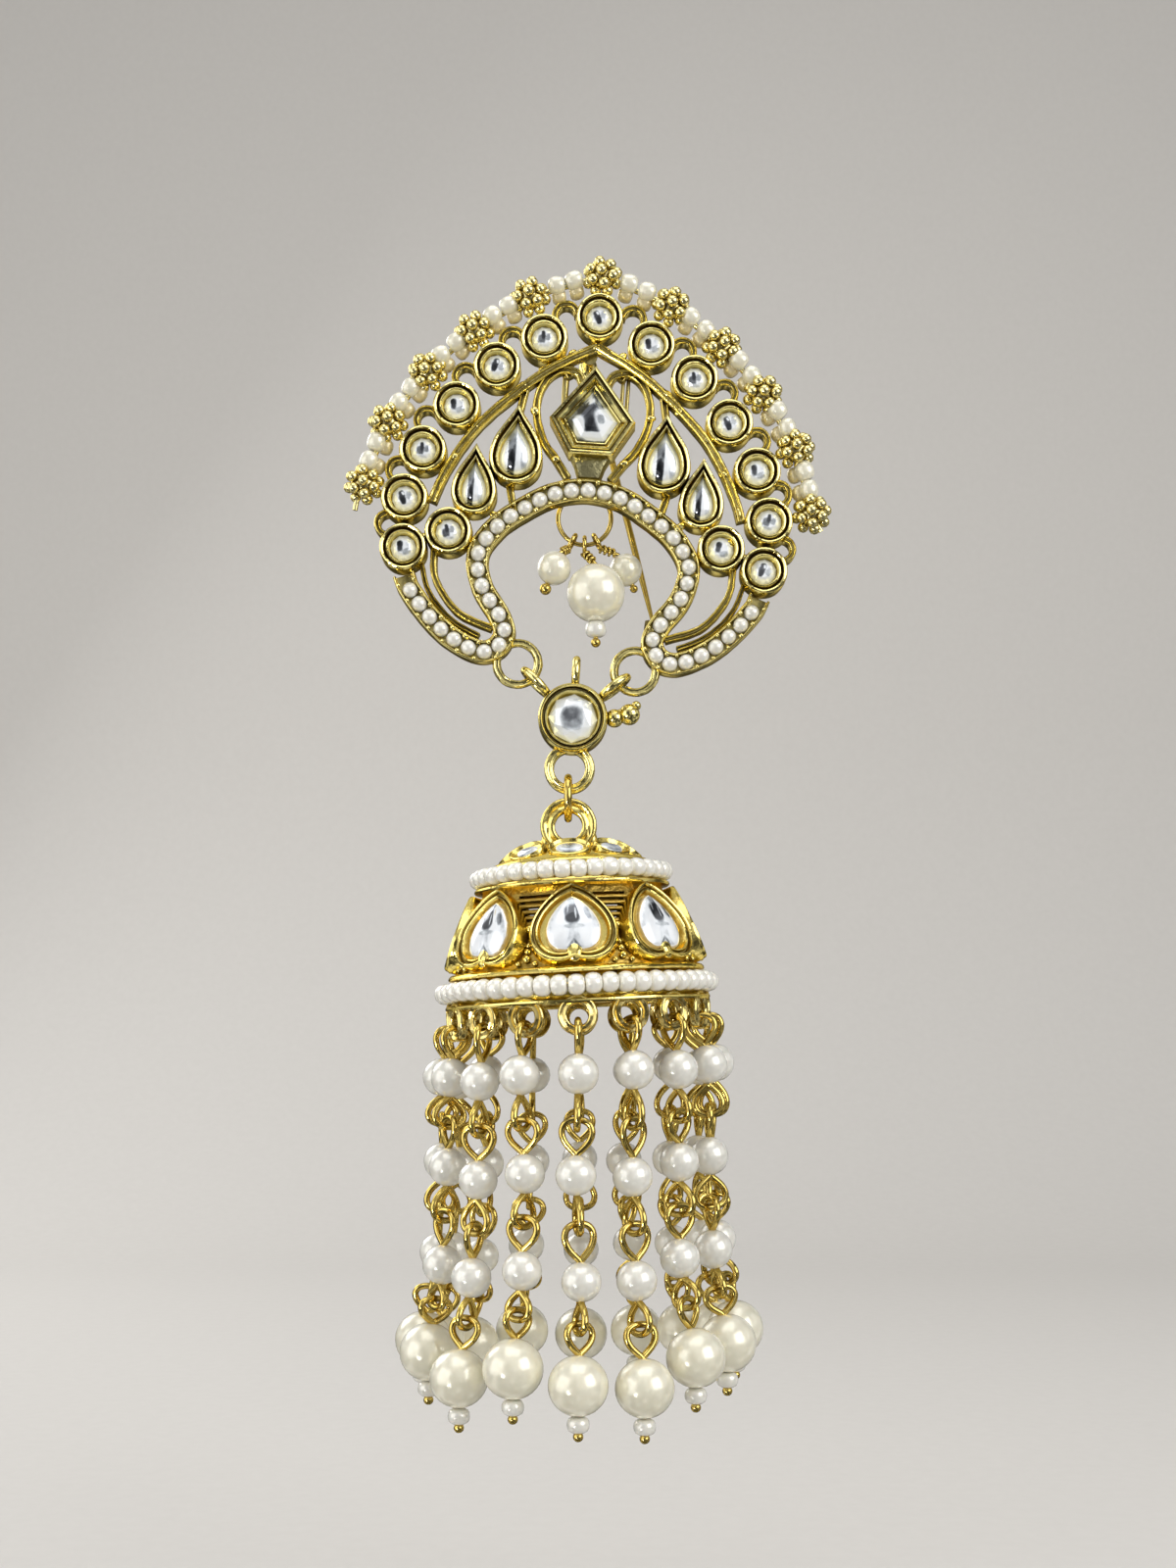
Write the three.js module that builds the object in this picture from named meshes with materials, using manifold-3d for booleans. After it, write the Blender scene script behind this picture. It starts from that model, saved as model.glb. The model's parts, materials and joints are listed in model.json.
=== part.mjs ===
// Hair brooch in gold-tone metal: a crescent head of set stones and pearls with a pin behind it,
// a round connector hung from the two horns of the crescent, and a domed drop with pearl strings.
// Millimetres, +Z up, the front faces -Y. The origin is on the middle of the head, in its back plane.
import * as THREE from 'three';
import { mergeVertices } from 'three/addons/utils/BufferGeometryUtils.js';
import Module from 'manifold-3d';

// ---- Driving dimensions ---------------------------------------------------------------------

const HEAD_LEAN_DEG = 3.8; // the head and the connector lean to the right
const DROP_LEAN_DEG = -3.0; // the dome leans the other way on its jump ring
const GAP = 0.3; // running gap between neighbouring pieces
const SINK = 0.4; // how far soldered parts reach into each other

// Places of the right half of the head; the left half mirrors them.
const TOP_BEZEL = { x: 0, z: 10.25 };
const SIDE_BEZELS = [
  { x: 5.5, z: 7.75 },
  { x: 10.15, z: 4.55 },
  { x: 14.0, z: 0.25 },
  { x: 17.15, z: -4.5 },
  { x: 18.7, z: -9.55 },
  { x: 18.5, z: -14.65 },
];
const HORN_BEZEL = { x: 14.0, z: -12.7 };
const ROUND = { radius: 2.45, wall: 0.6, depth: 2.6, floor: 0.8, stone: 1.55 };
const CUP_LIP = { fall: 0.15, rim: 0.25 };
const STONE_CUT = { girdle: 0.4, table: 0.6, below: 0.25 }; // a faceted stone under the cup's front

const PEARS = [
  { name: 'large', x: 7.6, z: -4.8, width: 5.5, height: 8.3 },
  { name: 'small', x: 11.65, z: -8.6, width: 4.7, height: 7.4 },
];
const PEAR = { wall: 0.6, depth: 2.8, floor: 0.8 };

const KITE_CORNERS = [[0, 5.0], [-4.4, -0.55], [-2.25, -4.1], [2.25, -4.1], [4.4, -0.55]];
const KITE = { middle: -0.2, inradius: 3.4, wall: 0.8, depth: 3.0, floor: 0.9 };

const ARCH_ROUTE = [
  [0, 7.35], [4.2, 5.1], [7.5, 2.6], [11.4, -1.15], [13.4, -4.0], [15.2, -7.55], [15.9, -9.6],
];
const ARCH = { half: 0.45, back: 0.3, front: 1.9 };
const HOOP = { z: -0.5, radius: 5.75, wire: 0.45, depth: 0.9 };
const KITE_STAY = { x: 3.1, top: 4.6, bottom: -0.5, wire: 0.35, depth: 0.5 };
const SCALLOP = { outward: 1.65, radius: 1.15, half: 0.3, depth: 1.7, halfTurn: 110 };

const BAND_ROUTE = [
  [0, -7.4], [3.4, -8.0], [6.4, -9.65], [9.2, -11.85], [10.85, -14.7], [10.2, -18.0],
  [8.2, -20.95], [7.6, -22.6], [8.25, -24.1], [9.85, -24.7], [13.0, -23.45], [15.6, -21.25], [17.85, -18.4],
];
const BAND = { half: 1.15, wall: 0.25, depth: 1.9, floor: 0.7, steps: 52 };
const HALF_PEARLS = { perSide: 21, swell: 0.6, waist: 0.4, front: 2.1 };
const SLOT_ROUTE = [[15.4, -14.4], [15.2, -17.0], [14.0, -19.2], [12.3, -20.9], [8.9, -22.2]];
const SLOT = { half: 0.35, depth: 1.6 };
const STRUTS = [
  { from: [7.6, 0.2], to: [7.1, 2.9] },
  { from: [8.2, -7.0], to: [7.4, -10.2] },
  { from: [3.2, 5.4], to: [2.6, 4.2] },
];
const STRUT = { half: 0.4, depth: 1.3 };

const FLOWERS = [[7.3, 12.2], [12.8, 8.3], [17.3, 3.8], [21.0, -1.7], [23.05, -8.2]];
const TOP_FLOWER = [0, 14.8];
const RIM = {
  depth: 1.2, flower: 1.95, flat: 0.8, bead: 1.25, beadAt: 0.8, waist: 0.85,
  wire: 0.3, endLength: 2.9, endLean: 0.4,
};

const LOOP = { x: 6.05, z: -25.65, radius: 2.15, wire: 0.45 };
const LINK_DEPTH = 1.2; // the linked rings lie this far in front of the back plane

const PIN = { top: [-0.9, 7.0], tip: [8.3, -21.35], stand: 3.9, wire: 0.35, point: 0.12, taper: 9 };
const SOCKET = { outer: 0.95, bore: 0.65, length: 2.4, floor: 0.4, post: 1.0 };
const CATCH = { reach: 0.65, wall: 0.5, length: 1.3, back: 0.3 };

const CLUSTER = { x: -0.85, z: -9.7, depth: -0.7, radius: 2.75, wire: 0.225, eye: 0.8, eyeWire: 0.25 };
const HOOK = { radius: 0.95, wire: 0.28 };
const CLUSTER_PEARLS = [
  {
    name: 'large', at: [0.3, -0.7, -17.8], radius: 3.0, eyeDeg: -90, axis: [0, 0, -1], seed: 1.15, ball: 0.5,
  },
  {
    name: 'left', at: [-4.0, 0.1, -15.0], radius: 1.75, eyeDeg: -118, axis: [-0.38, 0, -0.92], seed: 0,
    ball: 0.65,
  },
  {
    name: 'right', at: [3.4, 1.7, -14.8], radius: 1.7, eyeDeg: -62, axis: [0.42, 0.1, -0.9], seed: 0,
    ball: 0.4,
  },
];

const CONNECTOR = { z: -31.0, radius: 3.56, wall: 0.6, back: -0.2, front: 2.9, floor: 0.8, stone: 2.5 };
const SIDE_RING = { radius: 1.75, wire: 0.42 };
const TOP_RING = { radius: 1.4, wire: 0.4 };
const LOWER_RING = { z: -36.1, radius: 2.1, wire: 0.5 };
const GRAINS = [{ x: 4.1, z: -30.3, radius: 0.75 }, { x: 5.35, z: -29.85, radius: 0.85 }];
const JUMP = { radius: 2.1, wire: 0.4 };

// Heights on the dome are measured down from the point where it hangs.
const BAIL = { radius: 2.1, wire: 0.6 };
const DOME_OUTSIDE = [
  [0, -2.5], [2.9, -2.7], [8.4, -4.9], [8.4, -6.9], [9.9, -7.2], [9.6, -7.6], [12.7, -15.7],
  [13.1, -16.1], [12.3, -16.4], [12.3, -18.5], [13.5, -18.8], [13.4, -19.2],
];
const DOME_INSIDE = [[11.8, -19.2], [11.7, -15.9], [8.7, -7.5], [7.4, -5.6], [0, -3.7]];
const DOME_SIDES = 16;
const DRUM = { top: -7.6, bottom: -15.7, topRadius: 9.6, bottomRadius: 12.7 };
const HEARTS = { count: 8, width: 8.6, height: 8.5, out: 1.1, sunk: 0.75, wall: 0.9, pocket: 0.9 };
const WINDOW = { top: -8.5, foot: -12.2, halfTop: 1.9 };
const PEARL_RINGS = [
  { name: 'upper_pearl_ring', height: -5.95, radius: 9.6, across: 0.9, tall: 0.9, beads: 38 },
  { name: 'lower_pearl_ring', height: -17.4, radius: 13.55, across: 0.95, tall: 1.05, beads: 52 },
];
const BEAD_WAIST = 0.7;
const RIM_LOOP = { count: 16, radius: 13.0, height: -20.35, ring: 1.6, wire: 0.36 };

// Each string hangs plumb from its rim loop and leans out as its pearls push their neighbours away.
const STRING = {
  eye: 1.45, eyeWire: 0.34, wire: 0.4, pearl: 1.95, endPearl: 2.88, seed: 1.1, squash: 0.7, ball: 0.5,
  firstDrop: 5.7, pitch: 9.55, endPitch: 9.65, seedDrop: 3.62, ballDrop: 4.75, sides: 6,
};
const STRING_REACH = [0.9, 0.9, 1.4, 3.1];
// How much longer each string is than the plain one, from the front one round by the right.
const STRING_SLACK = [
  0.3, 1.0, -1.0, -1.6, -2.0, -1.2, -0.2, 0.3, 0.5, -0.3, 0.4, -0.8, -2.2, -1.8, -0.2, -1.2,
];

// ---- Solids ---------------------------------------------------------------------------------

const manifold = await Module();
manifold.setup();

function toSolid(geometry) {
  const bare = geometry.index ? geometry.toNonIndexed() : geometry.clone();
  bare.deleteAttribute('normal');
  bare.deleteAttribute('uv');
  const merged = mergeVertices(bare, 1e-4);
  const mesh = new manifold.Mesh({
    numProp: 3,
    vertProperties: new Float32Array(merged.attributes.position.array),
    triVerts: new Uint32Array(merged.index.array),
  });
  const solid = new manifold.Manifold(mesh);
  if (solid.volume() >= 0) return solid;
  for (let i = 0; i < mesh.triVerts.length; i += 3) {
    [mesh.triVerts[i], mesh.triVerts[i + 1]] = [mesh.triVerts[i + 1], mesh.triVerts[i]];
  }
  return new manifold.Manifold(mesh);
}

function toGeometry(solid) {
  const mesh = solid.getMesh();
  const geometry = new THREE.BufferGeometry();
  geometry.setAttribute('position', new THREE.BufferAttribute(mesh.vertProperties, 3));
  geometry.setIndex(new THREE.BufferAttribute(mesh.triVerts, 1));
  return geometry;
}

function join(geometries) {
  return geometries.map(toSolid).reduce((whole, piece) => whole.add(piece));
}

function moved(geometry, x, y, z) {
  return geometry.translate(x, y, z);
}

// An outline in X and Z, made solid from one depth to another in front of the back plane.
function plate(outline, back, front, curveSegments = 6) {
  const depth = front - back;
  const geometry = new THREE.ExtrudeGeometry(outline, { depth, bevelEnabled: false, curveSegments });
  return geometry.translate(0, 0, back).rotateX(Math.PI / 2);
}

// A turned piece whose axis faces the front; the profile is rows of radius and depth.
function turned(profile, sides) {
  const points = profile.map(([radius, depth]) => new THREE.Vector2(radius, -depth));
  return new THREE.LatheGeometry(points, sides);
}

// A ring of round wire. It lies in the X-Z plane until it is turned.
function wireRing(radius, wire, sides = 16, wireSides = 6) {
  return new THREE.TorusGeometry(radius, wire, wireSides, sides).rotateX(Math.PI / 2);
}

function smoothRoute(rows, steps) {
  const points = rows.map(([x, z]) => new THREE.Vector3(x, z, 0));
  return new THREE.CatmullRomCurve3(points, false, 'centripetal').getSpacedPoints(steps);
}

// The outline between two offsets of a flat route.
function ribbon(route, from, to) {
  const side = (offset) => route.map((point, i) => {
    const before = route[Math.max(i - 1, 0)];
    const after = route[Math.min(i + 1, route.length - 1)];
    const along = after.clone().sub(before).normalize();
    return new THREE.Vector2(point.x - along.y * offset, point.y + along.x * offset);
  });
  return new THREE.Shape([...side(from), ...side(to).reverse()]);
}

function bothSides(make) {
  return [1, -1].flatMap((side) => make(side));
}

// ---- Outlines -------------------------------------------------------------------------------

function pearOutline(width, height) {
  const radius = width / 2;
  const tip = height - radius;
  const shape = new THREE.Shape();
  shape.moveTo(0, tip);
  shape.bezierCurveTo(-0.42 * radius, 0.62 * tip, -radius, 0.42 * tip, -radius, 0);
  shape.absarc(0, 0, radius, Math.PI, 2 * Math.PI, false);
  shape.bezierCurveTo(radius, 0.42 * tip, 0.42 * radius, 0.62 * tip, 0, tip);
  return shape;
}

// A heart with its point up and its notch at the foot.
function heartOutline(width, height) {
  const half = width / 2;
  const shape = new THREE.Shape();
  shape.moveTo(0, 0.5 * height);
  shape.bezierCurveTo(-0.5 * half, 0.42 * height, -half, 0.1 * height, -half, -0.12 * height);
  shape.bezierCurveTo(-half, -0.42 * height, -0.5 * half, -0.54 * height, 0, -0.42 * height);
  shape.bezierCurveTo(0.5 * half, -0.54 * height, half, -0.42 * height, half, -0.12 * height);
  shape.bezierCurveTo(half, 0.1 * height, 0.5 * half, 0.42 * height, 0, 0.5 * height);
  return shape;
}

function kiteOutline(inset) {
  const scale = 1 - inset / KITE.inradius;
  const middle = new THREE.Vector2(0, KITE.middle);
  return new THREE.Shape(KITE_CORNERS.map(([x, z]) => new THREE.Vector2(x, z).sub(middle)
    .multiplyScalar(scale).add(middle)));
}

// ---- Materials ------------------------------------------------------------------------------

const gold = new THREE.MeshStandardMaterial({ color: 0xc9a23c, roughness: 0.3, metalness: 1 });
const crystal = new THREE.MeshStandardMaterial({ color: 0xdfe3e6, roughness: 0.05, metalness: 0 });
const whitePearl = new THREE.MeshStandardMaterial({ color: 0xeeeaea, roughness: 0.25, metalness: 0 });
const creamPearl = new THREE.MeshStandardMaterial({ color: 0xece6d2, roughness: 0.25, metalness: 0 });

function piece(name, solid, material) {
  const mesh = new THREE.Mesh(toGeometry(solid), material.clone());
  mesh.name = name;
  return mesh;
}

// ---- Head frame -----------------------------------------------------------------------------

const RIGHT_BEZELS = [...SIDE_BEZELS, HORN_BEZEL];
const ROUND_BEZELS = [
  { name: 'top', ...TOP_BEZEL },
  ...bothSides((side) => RIGHT_BEZELS.map(({ x, z }, i) => ({
    name: `${side > 0 ? 'right' : 'left'}_${i + 1}`, x: x * side, z,
  }))),
];
const ALL_PEARS = bothSides((side) => PEARS.map((pear) => ({
  ...pear, name: `${pear.name}_${side > 0 ? 'right' : 'left'}`, x: pear.x * side,
})));

function cupBody(radius, back, front, sides) {
  const { fall, rim } = CUP_LIP;
  const lip = [[radius, front - fall], [radius - rim, front]];
  return turned([[0, back], [radius, back], ...lip, [0, front]], sides);
}

function cupPocket(radius, floor, front, sides) {
  return turned([[0, floor], [radius, floor], [radius, front + 1], [0, front + 1]], sides);
}

function pearPlate(pear, inset, back, front) {
  const outline = pearOutline(pear.width - 2 * inset, pear.height - 2.7 * inset);
  return moved(plate(outline, back, front, 5), pear.x, 0, pear.z);
}

function mirrored(geometry) {
  return [geometry, geometry.clone().scale(-1, 1, 1)];
}

function bandRoute() {
  const left = BAND_ROUTE.slice(1).reverse().map(([x, z]) => [-x, z]);
  return [...left, ...BAND_ROUTE];
}

function scallops() {
  const row = [TOP_BEZEL, ...SIDE_BEZELS];
  return row.slice(1).flatMap((next, i) => {
    const tangent = new THREE.Vector2(next.x - row[i].x, next.z - row[i].z).normalize();
    const outward = Math.atan2(tangent.x, -tangent.y);
    const middle = {
      x: (next.x + row[i].x) / 2 - tangent.y * SCALLOP.outward,
      z: (next.z + row[i].z) / 2 + tangent.x * SCALLOP.outward,
    };
    const arc = Array.from({ length: 7 }, (_, k) => {
      const angle = outward + THREE.MathUtils.degToRad(SCALLOP.halfTurn * (1 - k / 3));
      return new THREE.Vector3(
        middle.x + SCALLOP.radius * Math.cos(angle), middle.z + SCALLOP.radius * Math.sin(angle), 0);
    });
    return mirrored(plate(ribbon(arc, -SCALLOP.half, SCALLOP.half), 0, SCALLOP.depth));
  });
}

function struts() {
  return STRUTS.flatMap(({ from, to }) => {
    const route = [from, to].map(([x, z]) => new THREE.Vector3(x, z, 0));
    return mirrored(plate(ribbon(route, -STRUT.half, STRUT.half), 0.2, STRUT.depth));
  });
}

// The pin's own axes: along the wire, across it in the plane of the head, and backwards.
const pinStart = new THREE.Vector3(PIN.top[0], PIN.stand, PIN.top[1]);
const pinEnd = new THREE.Vector3(PIN.tip[0], PIN.stand, PIN.tip[1]);
const pinAlong = pinEnd.clone().sub(pinStart).normalize();

function turnedAlong(profile, start, direction, sides) {
  const points = profile.map(([radius, distance]) => new THREE.Vector2(radius, distance));
  const upright = new THREE.Vector3(0, 1, 0);
  const turn = new THREE.Quaternion().setFromUnitVectors(upright, direction.clone().normalize());
  return new THREE.LatheGeometry(points, sides).applyQuaternion(turn).translate(start.x, start.y, start.z);
}

function pinSocket() {
  const { outer, bore, length, floor } = SOCKET;
  const start = pinStart.clone().addScaledVector(pinAlong, -floor - GAP);
  const tube = [[0, 0], [outer, 0], [outer, length], [bore, length], [bore, floor], [0, floor]];
  const foot = -ARCH.front / 2;
  const top = PIN.stand - bore;
  const post = new THREE.BoxGeometry(SOCKET.post, top - foot, SOCKET.post);
  const middle = start.clone().addScaledVector(pinAlong, length / 2);
  return [turnedAlong(tube, start, pinAlong, 8), moved(post, middle.x, (top + foot) / 2, middle.z)];
}

// A hook whose open side lets the pin spring in.
function pinCatch() {
  const top = PIN.stand;
  const { reach, wall, length, back } = CATCH;
  const outline = new THREE.Shape([
    [-reach - wall, -SINK], [-reach, -SINK], [-reach, top + reach], [reach, top + reach], [reach, top + 0.1],
    [reach + wall, top + 0.1], [reach + wall, top + reach + wall], [-reach - wall, top + reach + wall],
  ].map(([across, away]) => new THREE.Vector2(across, away)));
  const geometry = new THREE.ExtrudeGeometry(outline, { depth: length, bevelEnabled: false });
  const backwards = new THREE.Vector3(0, 1, 0);
  const across = new THREE.Vector3().crossVectors(backwards, pinAlong);
  geometry.applyMatrix4(new THREE.Matrix4().makeBasis(across, backwards, pinAlong));
  const station = pinEnd.clone().addScaledVector(pinAlong, -back - length);
  return moved(geometry, station.x, 0, station.z);
}

// A ring of round wire seen on its edge: it lies in the Y-Z plane, then turns about Y.
function edgeRing(radius, wire, turn = 0, sides = 14, wireSides = 5) {
  return new THREE.TorusGeometry(radius, wire, wireSides, sides).rotateY(Math.PI / 2).rotateY(turn);
}

const lean = THREE.MathUtils.degToRad(HEAD_LEAN_DEG);

// A point of the level frame, given in the leaning frame of the head, and the other way round.
function leaned(x, z, angle = lean) {
  return { x: x * Math.cos(angle) + z * Math.sin(angle), z: -x * Math.sin(angle) + z * Math.cos(angle) };
}

function clusterHook() {
  const top = leaned(CLUSTER.x, CLUSTER.z, -lean);
  return moved(edgeRing(HOOK.radius, HOOK.wire, 0, 10, 4), top.x, -CLUSTER.depth, top.z + CLUSTER.radius);
}

function kiteStays() {
  const { x, top, bottom, wire, depth } = KITE_STAY;
  const stay = new THREE.CylinderGeometry(wire, wire, top - bottom, 8).rotateX(Math.PI / 2);
  return mirrored(moved(stay, x, -depth, (top + bottom) / 2));
}

function headFrame() {
  const { radius, wall, depth, floor } = ROUND;
  const route = smoothRoute(bandRoute(), BAND.steps);
  const bodies = [
    ...ROUND_BEZELS.map(({ x, z }) => moved(cupBody(radius, 0, depth, 12), x, 0, z)),
    ...ALL_PEARS.map((pear) => pearPlate(pear, 0, 0, PEAR.depth)),
    plate(kiteOutline(0), 0, KITE.depth),
    ...mirrored(plate(ribbon(smoothRoute(ARCH_ROUTE, 10), -ARCH.half, ARCH.half), ARCH.back, ARCH.front)),
    moved(wireRing(HOOP.radius, HOOP.wire, 24, 5), 0, -HOOP.depth, HOOP.z),
    ...kiteStays(),
    plate(ribbon(route, -BAND.half, BAND.half), 0, BAND.depth),
    ...mirrored(plate(ribbon(smoothRoute(SLOT_ROUTE, 6), -SLOT.half, SLOT.half), 0, SLOT.depth)),
    ...scallops(),
    ...struts(),
    ...mirrored(moved(wireRing(LOOP.radius, LOOP.wire, 14, 5), LOOP.x, -LINK_DEPTH, LOOP.z)),
    ...pinSocket(),
    pinCatch(),
    clusterHook(),
  ];
  const pocketHalf = BAND.half - BAND.wall;
  const pockets = [
    ...ROUND_BEZELS.map(({ x, z }) => moved(cupPocket(radius - wall, floor, depth, 12), x, 0, z)),
    ...ALL_PEARS.map((pear) => pearPlate(pear, PEAR.wall, PEAR.floor, PEAR.depth + 1)),
    plate(kiteOutline(KITE.wall), KITE.floor, KITE.depth + 1),
    plate(ribbon(route, -pocketHalf, pocketHalf), BAND.floor, BAND.depth + 1),
  ];
  return join(bodies).subtract(join(pockets));
}

// ---- Stones and pearls of the head ----------------------------------------------------------

function cutStone(radius, back, front) {
  const { girdle, table } = STONE_CUT;
  return [[0, back], [radius, back], [radius, back + girdle], [radius * table, front], [0, front]];
}

function roundStone({ x, z }) {
  const cut = cutStone(ROUND.stone, ROUND.floor + GAP, ROUND.depth - STONE_CUT.below);
  return toSolid(moved(turned(cut, 8), x, 0, z));
}

function pearStone(pear) {
  return toSolid(pearPlate(pear, PEAR.wall + GAP, PEAR.floor + GAP, PEAR.depth - GAP));
}

function kiteStone() {
  const back = KITE.floor + GAP;
  const girdle = plate(kiteOutline(KITE.wall + GAP), back, back + 0.8);
  return join([girdle, plate(kiteOutline(KITE.wall + GAP + 0.6), back + 0.5, KITE.depth - 0.2)]);
}

// Half pearls side by side in the channel, as a strip that swells at each pearl.
function halfPearlRow() {
  const { perSide, swell, waist, front } = HALF_PEARLS;
  const pearls = 2 * perSide + 1;
  const route = smoothRoute(bandRoute(), 2 * pearls);
  const width = (i) => (i % 2 ? swell : waist);
  const side = (sign) => route.map((point, i) => {
    const along = route[Math.min(i + 1, 2 * pearls)].clone().sub(route[Math.max(i - 1, 0)]).normalize();
    return new THREE.Vector2(point.x - sign * along.y * width(i), point.y + sign * along.x * width(i));
  });
  const outline = new THREE.Shape([...side(-1), ...side(1).reverse()]);
  return toSolid(plate(outline, BAND.floor + GAP, front));
}

// Gold flowers on a wire, with the outer form of the seed pearls that are strung between them.
function rimBeadRow() {
  const right = FLOWERS.map(([x, z]) => new THREE.Vector3(x, -RIM.depth, z));
  const left = right.map((place) => place.clone().setX(-place.x)).reverse();
  const flowers = [...left, new THREE.Vector3(TOP_FLOWER[0], -RIM.depth, TOP_FLOWER[1]), ...right];
  const solids = flowers.map(({ x, y, z }) => moved(
    new THREE.IcosahedronGeometry(RIM.flower, 1).scale(1, RIM.flat, 1), x, y, z));
  flowers.slice(1).forEach((next, i) => {
    const span = next.clone().sub(flowers[i]);
    const half = span.length() / 2;
    const beads = [[0, -half], [RIM.bead, -RIM.beadAt], [RIM.waist, 0], [RIM.bead, RIM.beadAt], [0, half]];
    solids.push(turnedAlong(beads, next.clone().add(flowers[i]).multiplyScalar(0.5), span, 6));
  });
  const wireEnd = [[0, 0], [RIM.wire, 0.3], [RIM.wire, RIM.endLength - 0.3], [0, RIM.endLength]];
  const outwardEnd = new THREE.Vector3(RIM.endLean, 0, -1);
  const ends = mirrored(turnedAlong(wireEnd, right.at(-1), outwardEnd, 6));
  return join([...solids, ...ends]);
}

// ---- Pin and pearl cluster ------------------------------------------------------------------

function hairPin() {
  const length = pinEnd.distanceTo(pinStart);
  const { wire, point, taper } = PIN;
  const profile = [[0, 0], [wire, 0], [wire, length - taper], [point, length - point], [0, length]];
  return toSolid(turnedAlong(profile, pinStart, pinAlong, 8));
}

const clusterCentre = new THREE.Vector3(CLUSTER.x, -CLUSTER.depth, CLUSTER.z);

function clusterRing() {
  return toSolid(moved(wireRing(CLUSTER.radius, CLUSTER.wire, 20, 4), ...clusterCentre));
}

// Profile rows of a bead on a wire, from its foot to its top.
function ballRows(centre, radius, wire, rows, squash = 1) {
  const reach = Math.acos(wire / radius);
  return Array.from({ length: rows }, (_, i) => {
    const angle = -reach + (2 * reach * i) / (rows - 1);
    return [radius * Math.cos(angle), centre + squash * radius * Math.sin(angle)];
  });
}

// A pearl on a headpin: a wire eye round the cluster ring, the pearl, and the ball that ends the wire.
function clusterPearl({ at, radius, eyeDeg, axis, seed, ball }) {
  const angle = THREE.MathUtils.degToRad(eyeDeg);
  const outward = new THREE.Vector3(Math.cos(angle), 0, Math.sin(angle));
  const onRing = clusterCentre.clone().addScaledVector(outward, CLUSTER.radius);
  const eye = edgeRing(CLUSTER.eye, CLUSTER.eyeWire, Math.PI / 2 - angle, 8, 4);
  const centre = new THREE.Vector3(...at);
  const down = new THREE.Vector3(...axis).normalize();
  const wire = CLUSTER.eyeWire;
  const top = centre.clone().addScaledVector(down, -radius);
  const foot = onRing.clone().addScaledVector(outward, CLUSTER.eye);
  const neck = top.clone().sub(foot);
  const seedAt = radius + seed * STRING.squash;
  const ballAt = (seed ? seedAt + seed * STRING.squash : radius) + ball;
  const profile = [
    [0, -radius - SINK], ...ballRows(0, radius, wire, 5),
    ...(seed ? ballRows(seedAt, seed, wire, 3, STRING.squash) : []), ...ballRows(ballAt, ball, wire, 3),
    [0, ballAt + ball],
  ];
  const shank = neck.length() + SINK;
  return join([
    moved(eye, ...onRing),
    turnedAlong([[0, 0], [wire, 0], [wire, shank], [0, shank]], foot, neck, 6),
    turnedAlong(profile, centre, down, 8),
  ]);
}

// ---- Connector and jump ring ----------------------------------------------------------------

function connector() {
  const { z, radius, wall, back, front, floor } = CONNECTOR;
  const toLoop = new THREE.Vector2(LOOP.x, LOOP.z - z);
  const farWire = toLoop.length() - LOOP.radius + LOOP.wire + SIDE_RING.wire + GAP;
  const reach = farWire - SIDE_RING.radius;
  const turn = Math.atan2(toLoop.x, toLoop.y);
  const ring = moved(edgeRing(SIDE_RING.radius, SIDE_RING.wire, turn),
    reach * Math.sin(turn), -LINK_DEPTH, z + reach * Math.cos(turn));
  const topRing = edgeRing(TOP_RING.radius, TOP_RING.wire, 0, 10, 5);
  const body = join([
    moved(cupBody(radius, back, front, 18), 0, 0, z),
    ...mirrored(ring),
    moved(topRing, 0, -LINK_DEPTH, z + radius + TOP_RING.radius - TOP_RING.wire / 2),
    moved(wireRing(LOWER_RING.radius, LOWER_RING.wire, 14, 5), 0, -LINK_DEPTH, LOWER_RING.z),
    ...GRAINS.map(({ x, z: height, radius: size }) => moved(
      new THREE.IcosahedronGeometry(size, 1), x, -LINK_DEPTH, height)),
  ]);
  return body.subtract(toSolid(moved(cupPocket(radius - wall, floor, front, 18), 0, 0, z)));
}

function connectorStone() {
  const { z, front, floor, stone } = CONNECTOR;
  const cut = cutStone(stone, floor + GAP, front - STONE_CUT.below);
  return toSolid(moved(turned(cut, 14), 0, 0, z));
}

// ---- Dome -----------------------------------------------------------------------------------

const DRUM_SLOPE = Math.atan2(DRUM.bottomRadius - DRUM.topRadius, DRUM.top - DRUM.bottom);

// A turned piece whose axis stands upright; the profile is rows of radius and height.
function spun(profile, sides) {
  return turned(profile.map(([radius, height]) => [radius, -height]), sides).rotateX(Math.PI / 2);
}

// Sets a flat plate on the sloping side of the drum.
function onDrum(geometry, degrees) {
  const radius = (DRUM.topRadius + DRUM.bottomRadius) / 2;
  const height = (DRUM.top + DRUM.bottom) / 2;
  const placed = geometry.rotateX(-DRUM_SLOPE).translate(0, -radius, height);
  return placed.rotateZ(THREE.MathUtils.degToRad(degrees));
}

function heartPlate(k, inset, back, front) {
  const outline = heartOutline(HEARTS.width - 2 * inset, HEARTS.height - 2.2 * inset);
  return onDrum(plate(outline, back, front, 3), (360 / HEARTS.count) * k);
}

function windowPlate(k) {
  const middle = (DRUM.top + DRUM.bottom) / 2;
  const outline = new THREE.Shape([
    new THREE.Vector2(-WINDOW.halfTop, WINDOW.top - middle),
    new THREE.Vector2(0, WINDOW.foot - middle),
    new THREE.Vector2(WINDOW.halfTop, WINDOW.top - middle),
  ]);
  return onDrum(plate(outline, -1.6, 1), (360 / HEARTS.count) * (k + 0.5));
}

const rimLoops = Array.from({ length: RIM_LOOP.count }, (_, k) => {
  const { count, radius, height } = RIM_LOOP;
  const angle = (2 * Math.PI * k) / count;
  return { angle, x: radius * Math.sin(angle), y: -radius * Math.cos(angle), z: height };
});

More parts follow.
